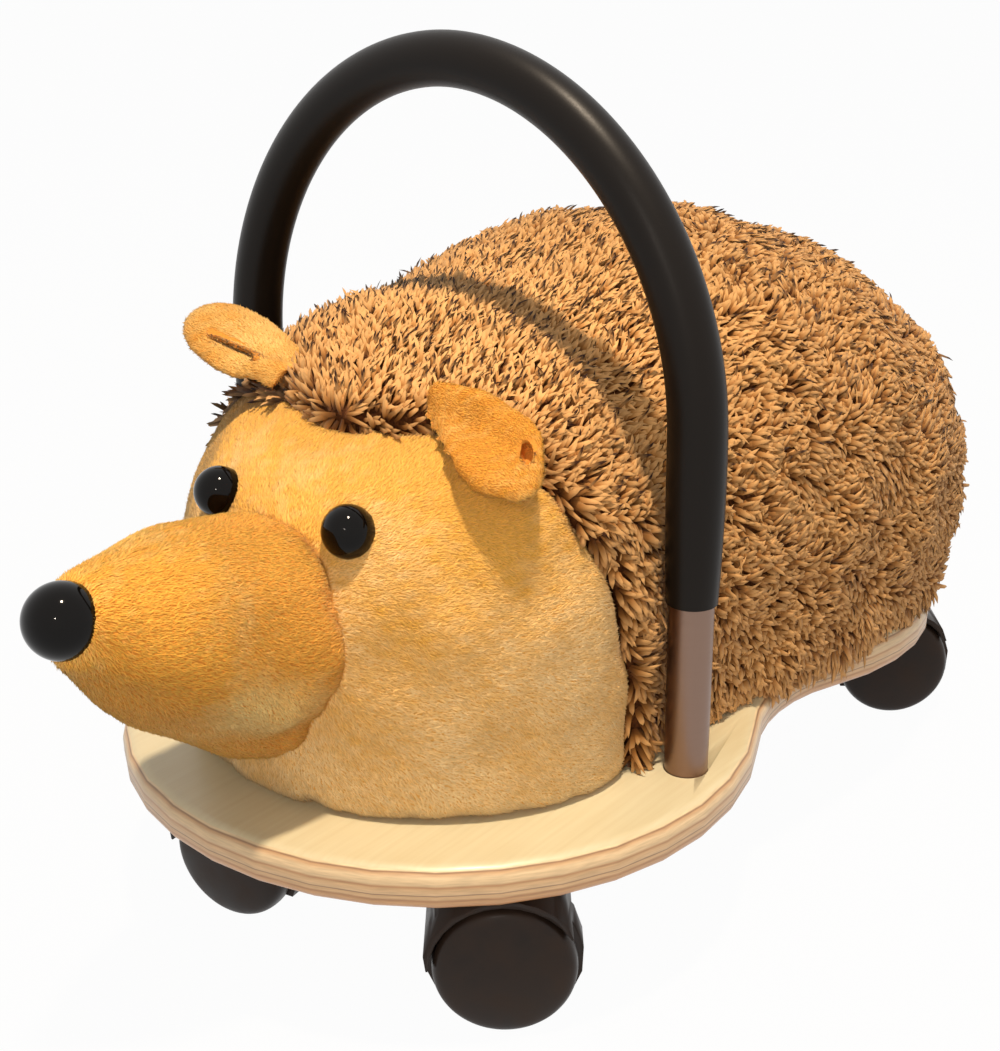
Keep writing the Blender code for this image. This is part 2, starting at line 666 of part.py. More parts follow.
def handle_path():
    """The tube's centre line from the left leg's foot over the arch to the right leg's foot."""
    leg = [Vector((HANDLE_HALF_SPACING, 0, z)) for z in (HANDLE_FOOT, GRIP_END_HEIGHT, GRIP_TAPER_TOP)]
    arch = []
    power = 2 / HANDLE_ARCH_SQUARENESS
    for step in range(HANDLE_ARCH_STEPS + 1):
        angle = math.pi * step / HANDLE_ARCH_STEPS
        across = math.copysign(abs(math.cos(angle)) ** power, math.cos(angle))
        rise = abs(math.sin(angle)) ** power if 0 < step < HANDLE_ARCH_STEPS else 0
        x = HANDLE_HALF_SPACING * across
        arch.append(Vector((x, 0, HANDLE_STRAIGHT_TOP + HANDLE_ARCH_RISE * rise)))
    other_leg = [Vector((-point.x, 0, point.z)) for point in reversed(leg)]
    return leg + arch + other_leg


def path_rings(path, radii):
    rings = []
    for index, point in enumerate(path):
        before = path[max(index - 1, 0)]
        after = path[min(index + 1, len(path) - 1)]
        along = (after - before).normalized()
        side = Vector((0, 1, 0))
        rings.append(ring(point, side * radii[index], along.cross(side) * radii[index], HANDLE_SIDES, 0.5))
    return rings


def sleeve(path, outer, inner):
    """A tube with a bore that follows a path, open at both ends."""
    rings = path_rings(path, outer) + list(reversed(path_rings(path, inner)))
    source = loft(rings, closed_ends=False)
    source.verts.ensure_lookup_table()
    last = len(rings) - 1
    for index in range(HANDLE_SIDES):
        after = (index + 1) % HANDLE_SIDES
        corners = (index, after, last * HANDLE_SIDES + after, last * HANDLE_SIDES + index)
        source.faces.new([source.verts[corner] for corner in corners])
    return source


def grip_radius(height):
    """The foam sleeve swells above its ends and is stretched thinner over the top of the arch."""
    if height < GRIP_TAPER_TOP:
        share = (height - GRIP_END_HEIGHT) / GRIP_TAPER_LENGTH
        return GRIP_END_RADIUS + (GRIP_RADIUS - GRIP_END_RADIUS) * share
    share = (height - GRIP_TAPER_TOP) / (HANDLE_STRAIGHT_TOP + HANDLE_ARCH_RISE - GRIP_TAPER_TOP)
    return GRIP_RADIUS + (GRIP_CROWN_RADIUS - GRIP_RADIUS) * share


def add_handle(parent):
    path = handle_path()
    outer = [HANDLE_TUBE_RADIUS] * len(path)
    inner = [HANDLE_TUBE_RADIUS - HANDLE_WALL] * len(path)
    add_object("handle_tube", sleeve(path, outer, inner), ALUMINIUM, parent)
    grip_path = path[1:-1]
    grip_outer = [grip_radius(point.z) for point in grip_path]
    grip_inner = [HANDLE_TUBE_RADIUS + TOUCH_GAP] * len(grip_path)
    add_object("handle_grip", sleeve(grip_path, grip_outer, grip_inner), FOAM_RUBBER, parent)
    for side, label in ((1, "left"), (-1, "right")):
        add_leg_fixing(label, parent, (side * HANDLE_HALF_SPACING, 0, 0))


def add_leg_fixing(label, parent, place):
    """The plug in the tube's foot, and the bolt and washer that hold the leg from under the board."""
    bore = BOLT_RADIUS + TOUCH_GAP
    bore_top = HANDLE_FOOT + BOLT_REACH_IN_PLUG + TOUCH_GAP
    plug_top = HANDLE_FOOT + PLUG_LENGTH
    radius = (HANDLE_TUBE_RADIUS - HANDLE_WALL - TOUCH_GAP) * math.cos(math.pi / HANDLE_SIDES)
    plug = [(0, bore_top), (bore, bore_top), (bore, HANDLE_FOOT)]
    plug += [(radius, HANDLE_FOOT), (radius, plug_top), (0, plug_top)]
    add_object(f"handle_plug_{label}", turned(plug, HANDLE_SIDES), ALUMINIUM, parent, place)
    washer_top = BOARD_UNDERSIDE - TOUCH_GAP
    washer_low = washer_top - WASHER_THICKNESS
    washer = [(bore, washer_low), (WASHER_RADIUS, washer_low)]
    washer += [(WASHER_RADIUS, washer_top), (bore, washer_top)]
    add_object(f"handle_washer_{label}", turned(washer, ROUND_SIDES), STEEL, parent, place)
    head_top = washer_low - TOUCH_GAP
    corner_radius = BOLT_HEAD_ACROSS_FLATS / 2 / math.cos(math.pi / BOLT_HEAD_SIDES)
    head = post(corner_radius, head_top - BOLT_HEAD_HEIGHT, head_top, BOLT_HEAD_SIDES)
    bolt = add_object(f"handle_bolt_{label}", head, STEEL, parent, place)
    shank_low = head_top - BOLT_HEAD_HEIGHT / 2
    shank = post(BOLT_RADIUS, shank_low, HANDLE_FOOT + BOLT_REACH_IN_PLUG, ROUND_SIDES)
    cut(bolt, add_cutter(f"handle_bolt_{label}_shank", shank, parent, place), "UNION")


# Stuffed body and head

def body_section(station, grow):
    """One upright slice of the long dome, from the left foot over the back to the right foot."""
    along, width, bulge, rise = station
    foot_x = BODY_BASE_HALF_WIDTH * width + grow
    belly_x = foot_x + BELLY_BULGE * bulge
    base = PLUSH_BASE - grow
    top = PLUSH_BASE + BODY_RISE * rise + grow
    belly_z = base + (top - base) * BELLY_HEIGHT_SHARE
    power = 2 / (FRONT_SQUARENESS + (REAR_SQUARENESS - FRONT_SQUARENESS) * along)
    y = BODY_FRONT_Y + BODY_LENGTH * along + grow * (2 * along - 1)
    side = []
    for step in range(WALL_STEPS):
        share = step / WALL_STEPS
        x = foot_x + (belly_x - foot_x) * math.sin(share * math.pi / 2)
        side.append(Vector((x, y, base + (belly_z - base) * share)))
    for step in range(DOME_STEPS):
        angle = math.pi / 2 * step / DOME_STEPS
        x = belly_x * math.cos(angle) ** power
        side.append(Vector((x, y, belly_z + (top - belly_z) * math.sin(angle) ** power)))
    crown = [Vector((0, y, top))]
    return side + crown + [Vector((-point.x, point.y, point.z)) for point in reversed(side)]


def body_dome(grow=0.0):
    return loft([body_section(station, grow) for station in BODY_STATION_SHARES])


def in_front_of_seam(shift):
    """The block in front of the face seam, moved back by a shift, in slices from the right to the left."""
    front = NOSE_FRONT_Y - CUT_OVERRUN
    under = PLUSH_BASE - CUT_OVERRUN
    over = PLUSH_BASE + BODY_RISE + CUT_OVERRUN
    left_half = [(BODY_BASE_HALF_WIDTH * width, step_back) for width, step_back in SEAM_PEAK_SHARES]
    left_half.append((BODY_BASE_HALF_WIDTH + BELLY_BULGE + CUT_OVERRUN, left_half[-1][1]))
    right_half = [(-x, step_back) for x, step_back in reversed(left_half[1:])]
    slices = []
    for x, step_back in right_half + left_half:
        start = BODY_FRONT_Y + shift + BODY_LENGTH * step_back
        seam = [(start + BODY_LENGTH * along, PLUSH_BASE + BODY_RISE * rise) for rise, along in SEAM_SHARES]
        outline = [(front, under), (seam[0][0], under)] + seam + [(seam[-1][0], over), (front, over)]
        slices.append([Vector((x, y, z)) for y, z in outline])
    return loft(slices)


def backer_outline(grow=0.0):
    half_x = BACKER_HALF_WIDTH + grow
    half_y = (BACKER_REAR_Y - BACKER_FRONT_Y) / 2 + grow
    centre_y = (BACKER_REAR_Y + BACKER_FRONT_Y) / 2
    return rounded_rectangle(half_x, half_y, BACKER_CORNER + grow, BACKER_CORNER_STEPS, centre_y)


def add_body_and_head(parent):
    head = add_object("head", body_dome(), FACE_PLUSH, parent)
    cut(head, add_cutter("face_block", in_front_of_seam(0), parent), "INTERSECT")
    body = add_object("body", body_dome(), FUR, parent)
    cut(body, add_cutter("face_block_with_gap", in_front_of_seam(TOUCH_GAP), parent))
    recess_top = PLUSH_BASE + BACKER_THICKNESS + TOUCH_GAP
    recess = prism(backer_outline(TOUCH_GAP), PLUSH_BASE - CUT_OVERRUN, recess_top)
    cut(body, add_cutter("backer_recess", recess, parent))


def add_backer(parent):
    low = PLUSH_BASE
    slab = prism(backer_outline(), low, low + BACKER_THICKNESS)
    backer = add_object("plush_backer_board", slab, BIRCH, parent)
    hole_top = low + BACKER_SCREW_BITE + TOUCH_GAP
    holes = [post(SCREW_RADIUS + TOUCH_GAP, low - CUT_OVERRUN, hole_top, SCREW_SIDES, place)
             for place in backer_screw_places()]
    cut(backer, add_cutter("backer_screw_holes", joined(holes), parent))
    sizes = (SCREW_RADIUS, SCREW_HEAD_RADIUS, SCREW_HEAD_HEIGHT, BOARD_UNDERSIDE, low + BACKER_SCREW_BITE)
    for number, place in enumerate(backer_screw_places(), 1):
        screw = countersunk(*sizes, (0, 0))
        add_object(f"backer_screw_{number}", screw, STEEL, parent, (*place, 0))


def add_snout_and_nose(parent):
    back = (SNOUT_ROOT - NOSE_CENTRE).normalized()
    seat = NOSE_CENTRE + back * NOSE_SEAT_DEPTH
    up = Vector((1, 0, 0)).cross(back)
    rings = []
    for along, size in SNOUT_RING_SHARES:
        radius = SNOUT_RADIUS * size
        across = Vector((radius + radius * (SNOUT_WIDTH_SHARE - 1) * along, 0, 0))
        rings.append(ring(seat.lerp(SNOUT_ROOT, along), across, up * radius, SNOUT_SIDES))
    snout = add_object("snout", loft(rings), SNOUT_PLUSH, parent)
    grown = add_cutter("dome_against_snout", body_dome(TOUCH_GAP), parent)
    cut(snout, grown)

    profile = [(0, TOUCH_GAP - NOSE_SEAT_DEPTH)]
    start = math.asin((TOUCH_GAP - NOSE_SEAT_DEPTH) / NOSE_RADIUS)
    steps = NOSE_SIDES // 2
    for step in range(steps):
        angle = start + (math.pi / 2 - start) * step / steps
        profile.append((NOSE_RADIUS * math.cos(angle), NOSE_RADIUS * math.sin(angle)))
    profile.append((0, NOSE_RADIUS))
    ball = turned(profile, NOSE_SIDES)
    ball.transform((-back).to_track_quat("Z", "Y").to_matrix().to_4x4())
    add_object("nose_button", ball, GLOSS_BLACK, parent, NOSE_CENTRE)


def ball_source(radius, sides):
    source = bmesh.new()
    bmesh.ops.create_uvsphere(source, u_segments=sides, v_segments=sides // 2, radius=radius)
    return source


def add_eyes(parent):
    grown = add_cutter("dome_against_eyes", body_dome(TOUCH_GAP), parent)
    for side, label in ((1, "left"), (-1, "right")):
        place = place_on_body(side, *EYE_PLACE_SHARES)
        eye = add_object(f"eye_{label}", ball_source(EYE_RADIUS, EYE_SIDES), GLOSS_BLACK, parent, place)
        cut(eye, grown)


def ear_rings(side, rise, flat_roll):
    """Flat rings from the root inside the head out to the round tip."""
    forward = math.radians(EAR_FORWARD_ANGLE)
    out = Vector((side * math.cos(forward), -math.sin(forward), 0))
    out = (out + Vector((0, 0, math.tan(math.radians(rise))))).normalized()
    level = out.cross(Vector((0, 0, 1))).normalized() * side
    roll = Matrix.Rotation(side * math.radians(flat_roll), 3, out)
    broad = roll @ level
    flat = out.cross(broad)
    root = place_on_body(side, *EAR_ROOT_SHARES)
    rings = []
    for along, width, thickness in EAR_RING_SHARES:
        centre = root + out * EAR_LENGTH * along
        across = broad * EAR_WIDTH / 2 * width
        rings.append(ring(centre, across, flat * EAR_THICKNESS / 2 * thickness, EAR_SIDES))
    return rings


def add_ears(parent):
    grown = add_cutter("dome_against_ears", body_dome(TOUCH_GAP), parent)
    for side, label in ((1, "left"), (-1, "right")):
        source = loft(ear_rings(side, EAR_RISE_ANGLES[label], EAR_ROLL_ANGLES[label]))
        ear = add_object(f"ear_{label}", source, SNOUT_PLUSH, parent)
        cut(ear, grown)


def build_toy():
    toy = add_empty("toy", None, (0, TOY_SHIFT_Y, 0))
    add_board(toy)
    for corner, place in castor_places().items():
        add_castor(corner, toy, place, CASTOR_HEADING_ANGLES[corner])
    add_handle(toy)
    add_body_and_head(toy)
    add_backer(toy)
    add_snout_and_nose(toy)
    add_eyes(toy)
    add_ears(toy)


build_toy()
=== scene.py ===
# %% [markdown]
# # A plush hedgehog to ride on
#
# The toy is a stuffed hedgehog on a plywood board with four twin-wheel castors and a hoop handle.
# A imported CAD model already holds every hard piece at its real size. This lesson loads that model
# as a fixed frame, gives each piece a finish, and makes the stuffed parts and their pile anew.
# Everything is in metres, the animal looks along -Y, and +Z is up.

# %% Load the frame
import json
import math

import bpy
import numpy as np
from mathutils import Matrix, Vector
from mathutils.bvhtree import BVHTree
from mathutils.kdtree import KDTree


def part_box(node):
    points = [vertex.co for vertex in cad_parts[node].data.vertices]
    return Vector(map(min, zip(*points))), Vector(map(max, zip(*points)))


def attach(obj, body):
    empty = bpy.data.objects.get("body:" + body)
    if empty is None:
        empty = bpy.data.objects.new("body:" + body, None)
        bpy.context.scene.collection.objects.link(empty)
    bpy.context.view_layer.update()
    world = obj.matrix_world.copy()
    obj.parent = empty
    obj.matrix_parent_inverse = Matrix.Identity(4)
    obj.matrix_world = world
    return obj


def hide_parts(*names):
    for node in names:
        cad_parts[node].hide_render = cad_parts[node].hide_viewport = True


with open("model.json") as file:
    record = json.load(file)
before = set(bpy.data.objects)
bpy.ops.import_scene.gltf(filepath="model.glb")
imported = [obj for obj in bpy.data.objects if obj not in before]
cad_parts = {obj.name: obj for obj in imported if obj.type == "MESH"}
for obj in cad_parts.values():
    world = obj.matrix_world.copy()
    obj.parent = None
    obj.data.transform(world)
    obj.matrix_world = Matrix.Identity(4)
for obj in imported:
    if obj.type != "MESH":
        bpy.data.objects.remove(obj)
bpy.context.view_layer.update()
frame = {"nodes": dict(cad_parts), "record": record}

MM = 0.001

# %% [markdown]
# ## Helpers for selecting, copying and finishing
#
# Operators act on whatever is selected, and the loaded model arrives selected, so each piece starts
# from an empty selection. A CAD node is made of loose triangles: a copy of it is merged first, and
# its triangles are turned back into quads, before it is shaded smooth or subdivided.

# %% Selection and copies
def select_only(piece):
    if bpy.context.object and bpy.context.object.mode != "OBJECT":
        bpy.ops.object.mode_set(mode="OBJECT")
    bpy.ops.object.select_all(action="DESELECT")
    piece.select_set(True)
    bpy.context.view_layer.objects.active = piece


def new_primitive(name):
    """Take the primitive that an operator has just added, under its own name."""
    piece = bpy.context.object
    piece.name = name
    piece.data.name = name
    return piece


def copy_node(node, name):
    """A merged copy of a CAD node, ready to be shaped."""
    piece = bpy.data.objects.new(name, frame["nodes"][node].data.copy())
    bpy.context.scene.collection.objects.link(piece)
    piece.data.materials.clear()
    select_only(piece)
    bpy.ops.object.mode_set(mode="EDIT")
    bpy.ops.mesh.select_all(action="SELECT")
    bpy.ops.mesh.remove_doubles(threshold=0.01 * MM)
    bpy.ops.mesh.tris_convert_to_quads(face_threshold=math.radians(30), shape_threshold=math.radians(60))
    bpy.ops.object.mode_set(mode="OBJECT")
    return piece


def apply_modifier(piece, kind, **settings):
    step = piece.modifiers.new(kind.lower(), kind)
    for name, value in settings.items():
        setattr(step, name, value)
    select_only(piece)
    bpy.ops.object.modifier_apply(modifier=step.name)


def smooth(piece, degrees=180):
    select_only(piece)
    bpy.ops.object.shade_smooth_by_angle(angle=math.radians(degrees))


def subdivide(piece, levels, crease_over=None, fatten=0.0):
    """Round a coarse piece off, keeping the edges that turn more sharply than crease_over degrees."""
    if crease_over:
        select_only(piece)
        bpy.ops.object.mode_set(mode="EDIT")
        bpy.ops.mesh.select_mode(type="EDGE")
        bpy.ops.mesh.select_all(action="DESELECT")
        bpy.ops.mesh.edges_select_sharp(sharpness=math.radians(crease_over))
        bpy.ops.transform.edge_crease(value=1)
        bpy.ops.mesh.select_all(action="SELECT")
        bpy.ops.object.mode_set(mode="OBJECT")
    apply_modifier(piece, "SUBSURF", levels=levels, render_levels=levels)
    if fatten:
        select_only(piece)
        bpy.ops.object.mode_set(mode="EDIT")
        bpy.ops.mesh.select_all(action="SELECT")
        bpy.ops.transform.shrink_fatten(value=fatten)
        bpy.ops.object.mode_set(mode="OBJECT")


def finish_piece(piece, material, body, slot, *nodes):
    """Give a piece its finish, its body and the CAD nodes that it stands for; slot is not used."""
    piece.data.materials.clear()
    piece.data.materials.append(material)
    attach(piece, body)
    if nodes:
        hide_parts(*nodes)
    print(piece.name, len(piece.data.polygons), "faces")


# %% [markdown]
# ## Helpers for materials
#
# Colours are picked as sRGB hex values, the way a paint chart gives them, and one function turns
# them into the linear values that the shader works with. Each material is a Principled shader fed
# by a few pattern nodes, whose sizes are worked out from millimetres: a Noise Texture's scale is
# about one over the size of its blotches in metres.

# %% Material helpers
def linear(hex_colour):
    """Turn an sRGB hex colour into linear red, green, blue and alpha."""
    parts = [int(hex_colour[place:place + 2], 16) / 255 for place in (1, 3, 5)]
    return (*[part / 12.92 if part <= 0.04045 else ((part + 0.055) / 1.055) ** 2.4 for part in parts], 1.0)


def new_material(name):
    material = bpy.data.materials.new(name)
    material.use_nodes = True
    tree = material.node_tree
    return material, tree, tree.nodes["Principled BSDF"]


def add_node(tree, kind, settings=None, **inputs):
    """Add a node: settings are its own options, and each input is a value or a socket to link."""
    node = tree.nodes.new(kind)
    for name, value in (settings or {}).items():
        setattr(node, name, value)
    connect(tree, node, **inputs)
    return node


def connect(tree, node, **inputs):
    for name, value in inputs.items():
        socket = node.inputs[int(name[1:])] if name[1:].isdigit() else node.inputs[name.replace("_", " ")]
        if isinstance(value, bpy.types.NodeSocket):
            tree.links.new(value, socket)
        else:
            socket.default_value = value


def calculate(tree, operation, first, second):
    """The result of a sum of two values, such as ADD or MULTIPLY."""
    return add_node(tree, "ShaderNodeMath", {"operation": operation}, _0=first, _1=second).outputs[0]


def remap(tree, value, low=0.0, high=1.0, to_low=0.0, to_high=1.0):
    """Stretch a value from between low and high to between to_low and to_high, and no further."""
    return add_node(tree, "ShaderNodeMapRange", _0=value, _1=low, _2=high, _3=to_low, _4=to_high).outputs[0]


def object_place(tree):
    return add_node(tree, "ShaderNodeTexCoord").outputs["Object"]


def mix_colours(tree, share, first, second):
    """The first colour where the share is 0, and the second where it is 1."""
    return add_node(tree, "ShaderNodeMix", {"data_type": "RGBA"}, _0=share, _6=first, _7=second).outputs[2]


def mix_shaders(tree, share, first, second):
    """The first shader where the share is 0, and the second where it is 1."""
    mixed = add_node(tree, "ShaderNodeMixShader", _0=share, _1=first.outputs[0], _2=second.outputs[0])
    return mixed.outputs[0]


def per_metre(millimetres):
    """The texture scale whose pattern repeats about every so many millimetres."""
    return 1 / (millimetres * MM)


# %% [markdown]
# ## Camera
#
# The photograph looks down on the toy's front left from about arm's length. The place, turn and
# lens were found by matching the board, the handle and the castors, whose real sizes are known.

# %% Camera
PHOTO_SIZE = (1000, 1051)
FOCAL_PIXELS = 1576
CAMERA_PLACE = Vector((0.4353, -0.5438, 0.4283))
CAMERA_AZIMUTH = math.radians(39.28)
CAMERA_ELEVATION = math.radians(21.23)
CAMERA_ROLL = math.radians(-0.6)


def add_camera():
    level = math.cos(CAMERA_ELEVATION)
    back = Vector((
        math.sin(CAMERA_AZIMUTH) * level,
        -math.cos(CAMERA_AZIMUTH) * level,
        math.sin(CAMERA_ELEVATION),
    ))
    right = (-back).cross(Vector((0, 0, 1))).normalized()
    up = right.cross(-back)
    rolled_right = right * math.cos(CAMERA_ROLL) + up * math.sin(CAMERA_ROLL)
    rolled_up = up * math.cos(CAMERA_ROLL) - right * math.sin(CAMERA_ROLL)
    data = bpy.data.cameras.new("photo_camera")
    data.sensor_width = 36
    data.lens = FOCAL_PIXELS * data.sensor_width / max(PHOTO_SIZE)
    data.clip_start = 0.01
    camera = bpy.data.objects.new("photo_camera", data)
    bpy.context.scene.collection.objects.link(camera)
    turn = Matrix((rolled_right, rolled_up, back)).transposed().to_4x4()
    camera.matrix_world = Matrix.Translation(CAMERA_PLACE) @ turn
    bpy.context.scene.camera = camera
    print("lens", round(data.lens, 2), "mm")


add_camera()

# %% [markdown]
# ## Floor, world and lamps
#
# The photograph has a white ground. The floor is white card, and for rays that come from the camera,
# or that a shiny surface sends on, most of it glows plain white, so that only a faint shadow is left
# under the wheels. A lamp high in front throws the shadows seen under the ear and the snout, a small
# one by the camera gives the sparkle in the eyes, and two wide ones and the world fill the rest.

# %% Studio
FLOOR_SIZE = 40.0
CARD_GLOW = 0.97


def seen_directly(tree):
    """1 for rays from the camera and those passed on by a mirror or glass, 0 for all others."""
    path = add_node(tree, "ShaderNodeLightPath")
    either = calculate(tree, "MAXIMUM", path.outputs["Is Camera Ray"], path.outputs["Is Glossy Ray"])
    return calculate(tree, "MAXIMUM", either, path.outputs["Is Transmission Ray"])


def add_floor():
    bpy.ops.object.select_all(action="DESELECT")
    bpy.ops.mesh.primitive_plane_add(size=FLOOR_SIZE, location=(0, 0, 0))
    floor = new_primitive("studio_floor")
    material, tree, shader = new_material("white_card")
    connect(tree, shader, Base_Color=linear("#B4B2AE"), Roughness=0.9, Specular_IOR_Level=0.1)
    glow = add_node(tree, "ShaderNodeEmission", Color=linear("#FFFFFF"), Strength=1.0)
    share = calculate(tree, "MULTIPLY", seen_directly(tree), CARD_GLOW)
    connect(tree, tree.nodes["Material Output"], Surface=mix_shaders(tree, share, shader, glow))
    floor.data.materials.append(material)


def light_the_world():
    world = bpy.data.worlds.new("studio_world")
    bpy.context.scene.world = world
    world.use_nodes = True
    tree = world.node_tree
    fill = add_node(tree, "ShaderNodeBackground", Color=linear("#F1F2F4"), Strength=0.29)
    white = add_node(tree, "ShaderNodeBackground", Color=linear("#FFFFFF"), Strength=1.0)
    mixed = mix_shaders(tree, seen_directly(tree), fill, white)
    connect(tree, tree.nodes["World Output"], Surface=mixed)


def add_lamp(name, place, aim, size, power, colour, mirrored=True):
    data = bpy.data.lights.new(name, "AREA")
    data.shape = "DISK"
    data.size = size
    data.energy = power
    data.color = linear(colour)[:3]
    lamp = bpy.data.objects.new(name, data)
    bpy.context.scene.collection.objects.link(lamp)
    lamp.location = place
    lamp.rotation_euler = (Vector(aim) - Vector(place)).to_track_quat("-Z", "Y").to_euler()
    lamp.visible_glossy = mirrored


bpy.context.scene.view_settings.view_transform = "Standard"
add_floor()
light_the_world()
add_lamp("key_lamp", (0.42, -0.32, 2.3), (0.02, -0.06, 0.2), 0.16, 54, "#FFEACF")
add_lamp("camera_lamp", (0.50, -0.95, 0.72), (0, -0.05, 0.15), 0.035, 1.0, "#FFF3E6")
add_lamp("front_fill", (0.9, -1.5, 0.75), (0, -0.05, 0.15), 0.9, 8.4, "#FFF1E0", mirrored=False)
add_lamp("side_fill", (1.6, 0.5, 0.8), (0, 0, 0.15), 0.8, 4.2, "#FFF1E0", mirrored=False)

# %% [markdown]
# ## Hard materials
#
# Each finish starts from what the real one is. Birch plywood is peeled birch, glued crosswise and
# varnished: its face is pale with faint long streaks, and its rounded edge shows the plies as bands.
# The handle is satin anodised aluminium under a sleeve of closed-cell foam rubber. Castors of this
# kind are moulded glass-filled nylon, which is nearly black and shines softly. The eyes and nose are
# polished plastic, and plates and screws are zinc-plated steel.

# %% Birch plywood
BOARD_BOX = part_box("base_board")
VENEER_FACE = "#D6CEAE"
# Plies from the underside up, as shares of the board's thickness: cream along the grain, tan across
# it, and two darker lines of glue that the roundover has laid open
PLIES = (
    (0.00, "#C98F5C"), (0.12, "#D29C69"), (0.24, "#D9AC7C"), (0.30, "#BE9069"), (0.35, "#DDBB92"),
    (0.40, "#DAB68C"), (0.42, "#937660"), (0.44, "#DFC09A"), (0.56, "#DDB98D"), (0.61, "#BF9168"),
    (0.66, "#E3C8A0"), (0.80, "#E5CBA3"), (0.87, "#CDA57A"), (0.90, "#8F6B4A"), (0.92, "#E6CFA6"),
)


def birch_plywood():
    material, tree, shader = new_material("varnished_birch_plywood")
    place = object_place(tree)
    # The plies wander by a fraction of a millimetre, as the cutter and the sandpaper left them.
    wander = add_node(tree, "ShaderNodeTexNoise", Vector=place, Scale=per_metre(45), Detail=2)
    height = add_node(tree, "ShaderNodeSeparateXYZ", Vector=place).outputs["Z"]
    shift = remap(tree, wander.outputs[0], to_low=-0.5 * MM, to_high=0.5 * MM)
    moved = calculate(tree, "ADD", height, shift)
    low, high = BOARD_BOX[0].z, BOARD_BOX[1].z
    plies = add_node(tree, "ShaderNodeValToRGB", Fac=remap(tree, moved, low, high))
    paint_plies(plies.color_ramp)
    # Fine streaks run round the edge in each ply, a third of a millimetre thick.
    thin = add_node(tree, "ShaderNodeMapping", Vector=place, Scale=(1, 1, 12))
    streak = add_node(tree, "ShaderNodeTexNoise", Vector=thin.outputs[0], Scale=per_metre(9), Detail=4)
    streaks = remap(tree, streak.outputs[0], 0.3, 0.7, 0.77, 0.99)
    edge = add_node(tree, "ShaderNodeVectorMath", {"operation": "SCALE"}, _0=plies.outputs[0], Scale=streaks)
    face = face_veneer(tree, place)
    top = remap(tree, moved, high - 1.25 * MM, high - 1.05 * MM)
    colour = mix_colours(tree, top, edge.outputs[0], face)
    grain = add_node(tree, "ShaderNodeBump", Strength=0.12, Distance=0.3 * MM, Height=streak.outputs[0])
    connect(tree, shader, Base_Color=colour, Roughness=0.42, Normal=grain.outputs[0],
            Coat_Weight=0.25, Coat_Roughness=0.25)
    return material


def paint_plies(ramp):
    while len(ramp.elements) < len(PLIES):
        ramp.elements.new(0.5)
    for element, (place, tone) in zip(ramp.elements, PLIES):
        element.position = place
        element.color = linear(tone)


def face_veneer(tree, place):
    """The pale top veneer: faint streaks along the board, some 2 mm wide and 80 mm long."""
    stretched = add_node(tree, "ShaderNodeMapping", Vector=place, Scale=(1, 0.04, 1))
    grain = add_node(
        tree, "ShaderNodeTexNoise", Vector=stretched.outputs[0], Scale=per_metre(2.5), Detail=5)
    clouds = add_node(tree, "ShaderNodeTexNoise", Vector=place, Scale=per_metre(60), Detail=2)
    both = calculate(tree, "ADD", grain.outputs[0], clouds.outputs[0])
    tone = remap(tree, both, 0.6, 1.4)
    return mix_colours(tree, tone, linear("#CABC97"), linear(VENEER_FACE))


BIRCH = birch_plywood()

# %% Aluminium, foam rubber, nylon, steel and polished plastic
def fine_grain(tree, millimetres, strength, distance, stretch=(1, 1, 1), detail=3):
    """A bump of tiny even grains, such as a mould or a brush leaves, and the noise behind it."""
    place = object_place(tree)
    mapped = add_node(tree, "ShaderNodeMapping", Vector=place, Scale=stretch)
    noise = add_node(tree, "ShaderNodeTexNoise", Vector=mapped.outputs[0],
                     Scale=per_metre(millimetres), Detail=detail)
    bump = add_node(tree, "ShaderNodeBump", Strength=strength, Distance=distance, Height=noise.outputs[0])
    return noise.outputs[0], bump.outputs[0]


def satin_aluminium():
    """Anodised tube: a brushed metal whose lines run round it, drawn three times coarser to show."""
    material, tree, shader = new_material("satin_anodised_aluminium")
    noise, bump = fine_grain(tree, 1.2, 0.25, 0.05 * MM, stretch=(0.15, 0.15, 1))
    rough = remap(tree, noise, to_low=0.30, to_high=0.46)
    connect(tree, shader, Base_Color=linear("#8A7163"), Metallic=1.0, Roughness=rough, Normal=bump)
    return material


def foam_rubber():
    """Closed-cell foam: a fine soft skin that keeps a broad highlight."""
    material, tree, shader = new_material("black_foam_rubber")
    noise, bump = fine_grain(tree, 0.9, 0.18, 0.08 * MM)
    rough = remap(tree, noise, to_low=0.30, to_high=0.44)
    connect(tree, shader, Base_Color=linear("#15110E"), Roughness=rough, Normal=bump,
            Specular_IOR_Level=0.16)
    return material


def moulded_nylon():
    """Injection-moulded nylon: nearly black brown, with scuffs that dull it in patches."""
    material, tree, shader = new_material("black_moulded_nylon")
    noise, bump = fine_grain(tree, 1.6, 0.12, 0.06 * MM)
    place = object_place(tree)
    scuff = add_node(tree, "ShaderNodeTexNoise", Vector=place, Scale=per_metre(14), Detail=6)
    rough = remap(tree, scuff.outputs[0], 0.35, 0.7, 0.30, 0.52)
    tone = mix_colours(tree, scuff.outputs[0], linear("#1C1613"), linear("#33261E"))
    connect(tree, shader, Base_Color=tone, Roughness=rough, Normal=bump,
            Specular_IOR_Level=0.2)
    return material


def zinc_plated_steel():
    """Zinc plate: a bright grey with small crystals that catch the light one by one."""
    material, tree, shader = new_material("zinc_plated_steel")
    place = object_place(tree)
    crystals = add_node(tree, "ShaderNodeTexVoronoi", Vector=place, Scale=per_metre(2.5))
    rough = remap(tree, crystals.outputs["Distance"], to_low=0.24, to_high=0.42)
    connect(tree, shader, Base_Color=linear("#BDBDB8"), Metallic=1.0, Roughness=rough)
    return material


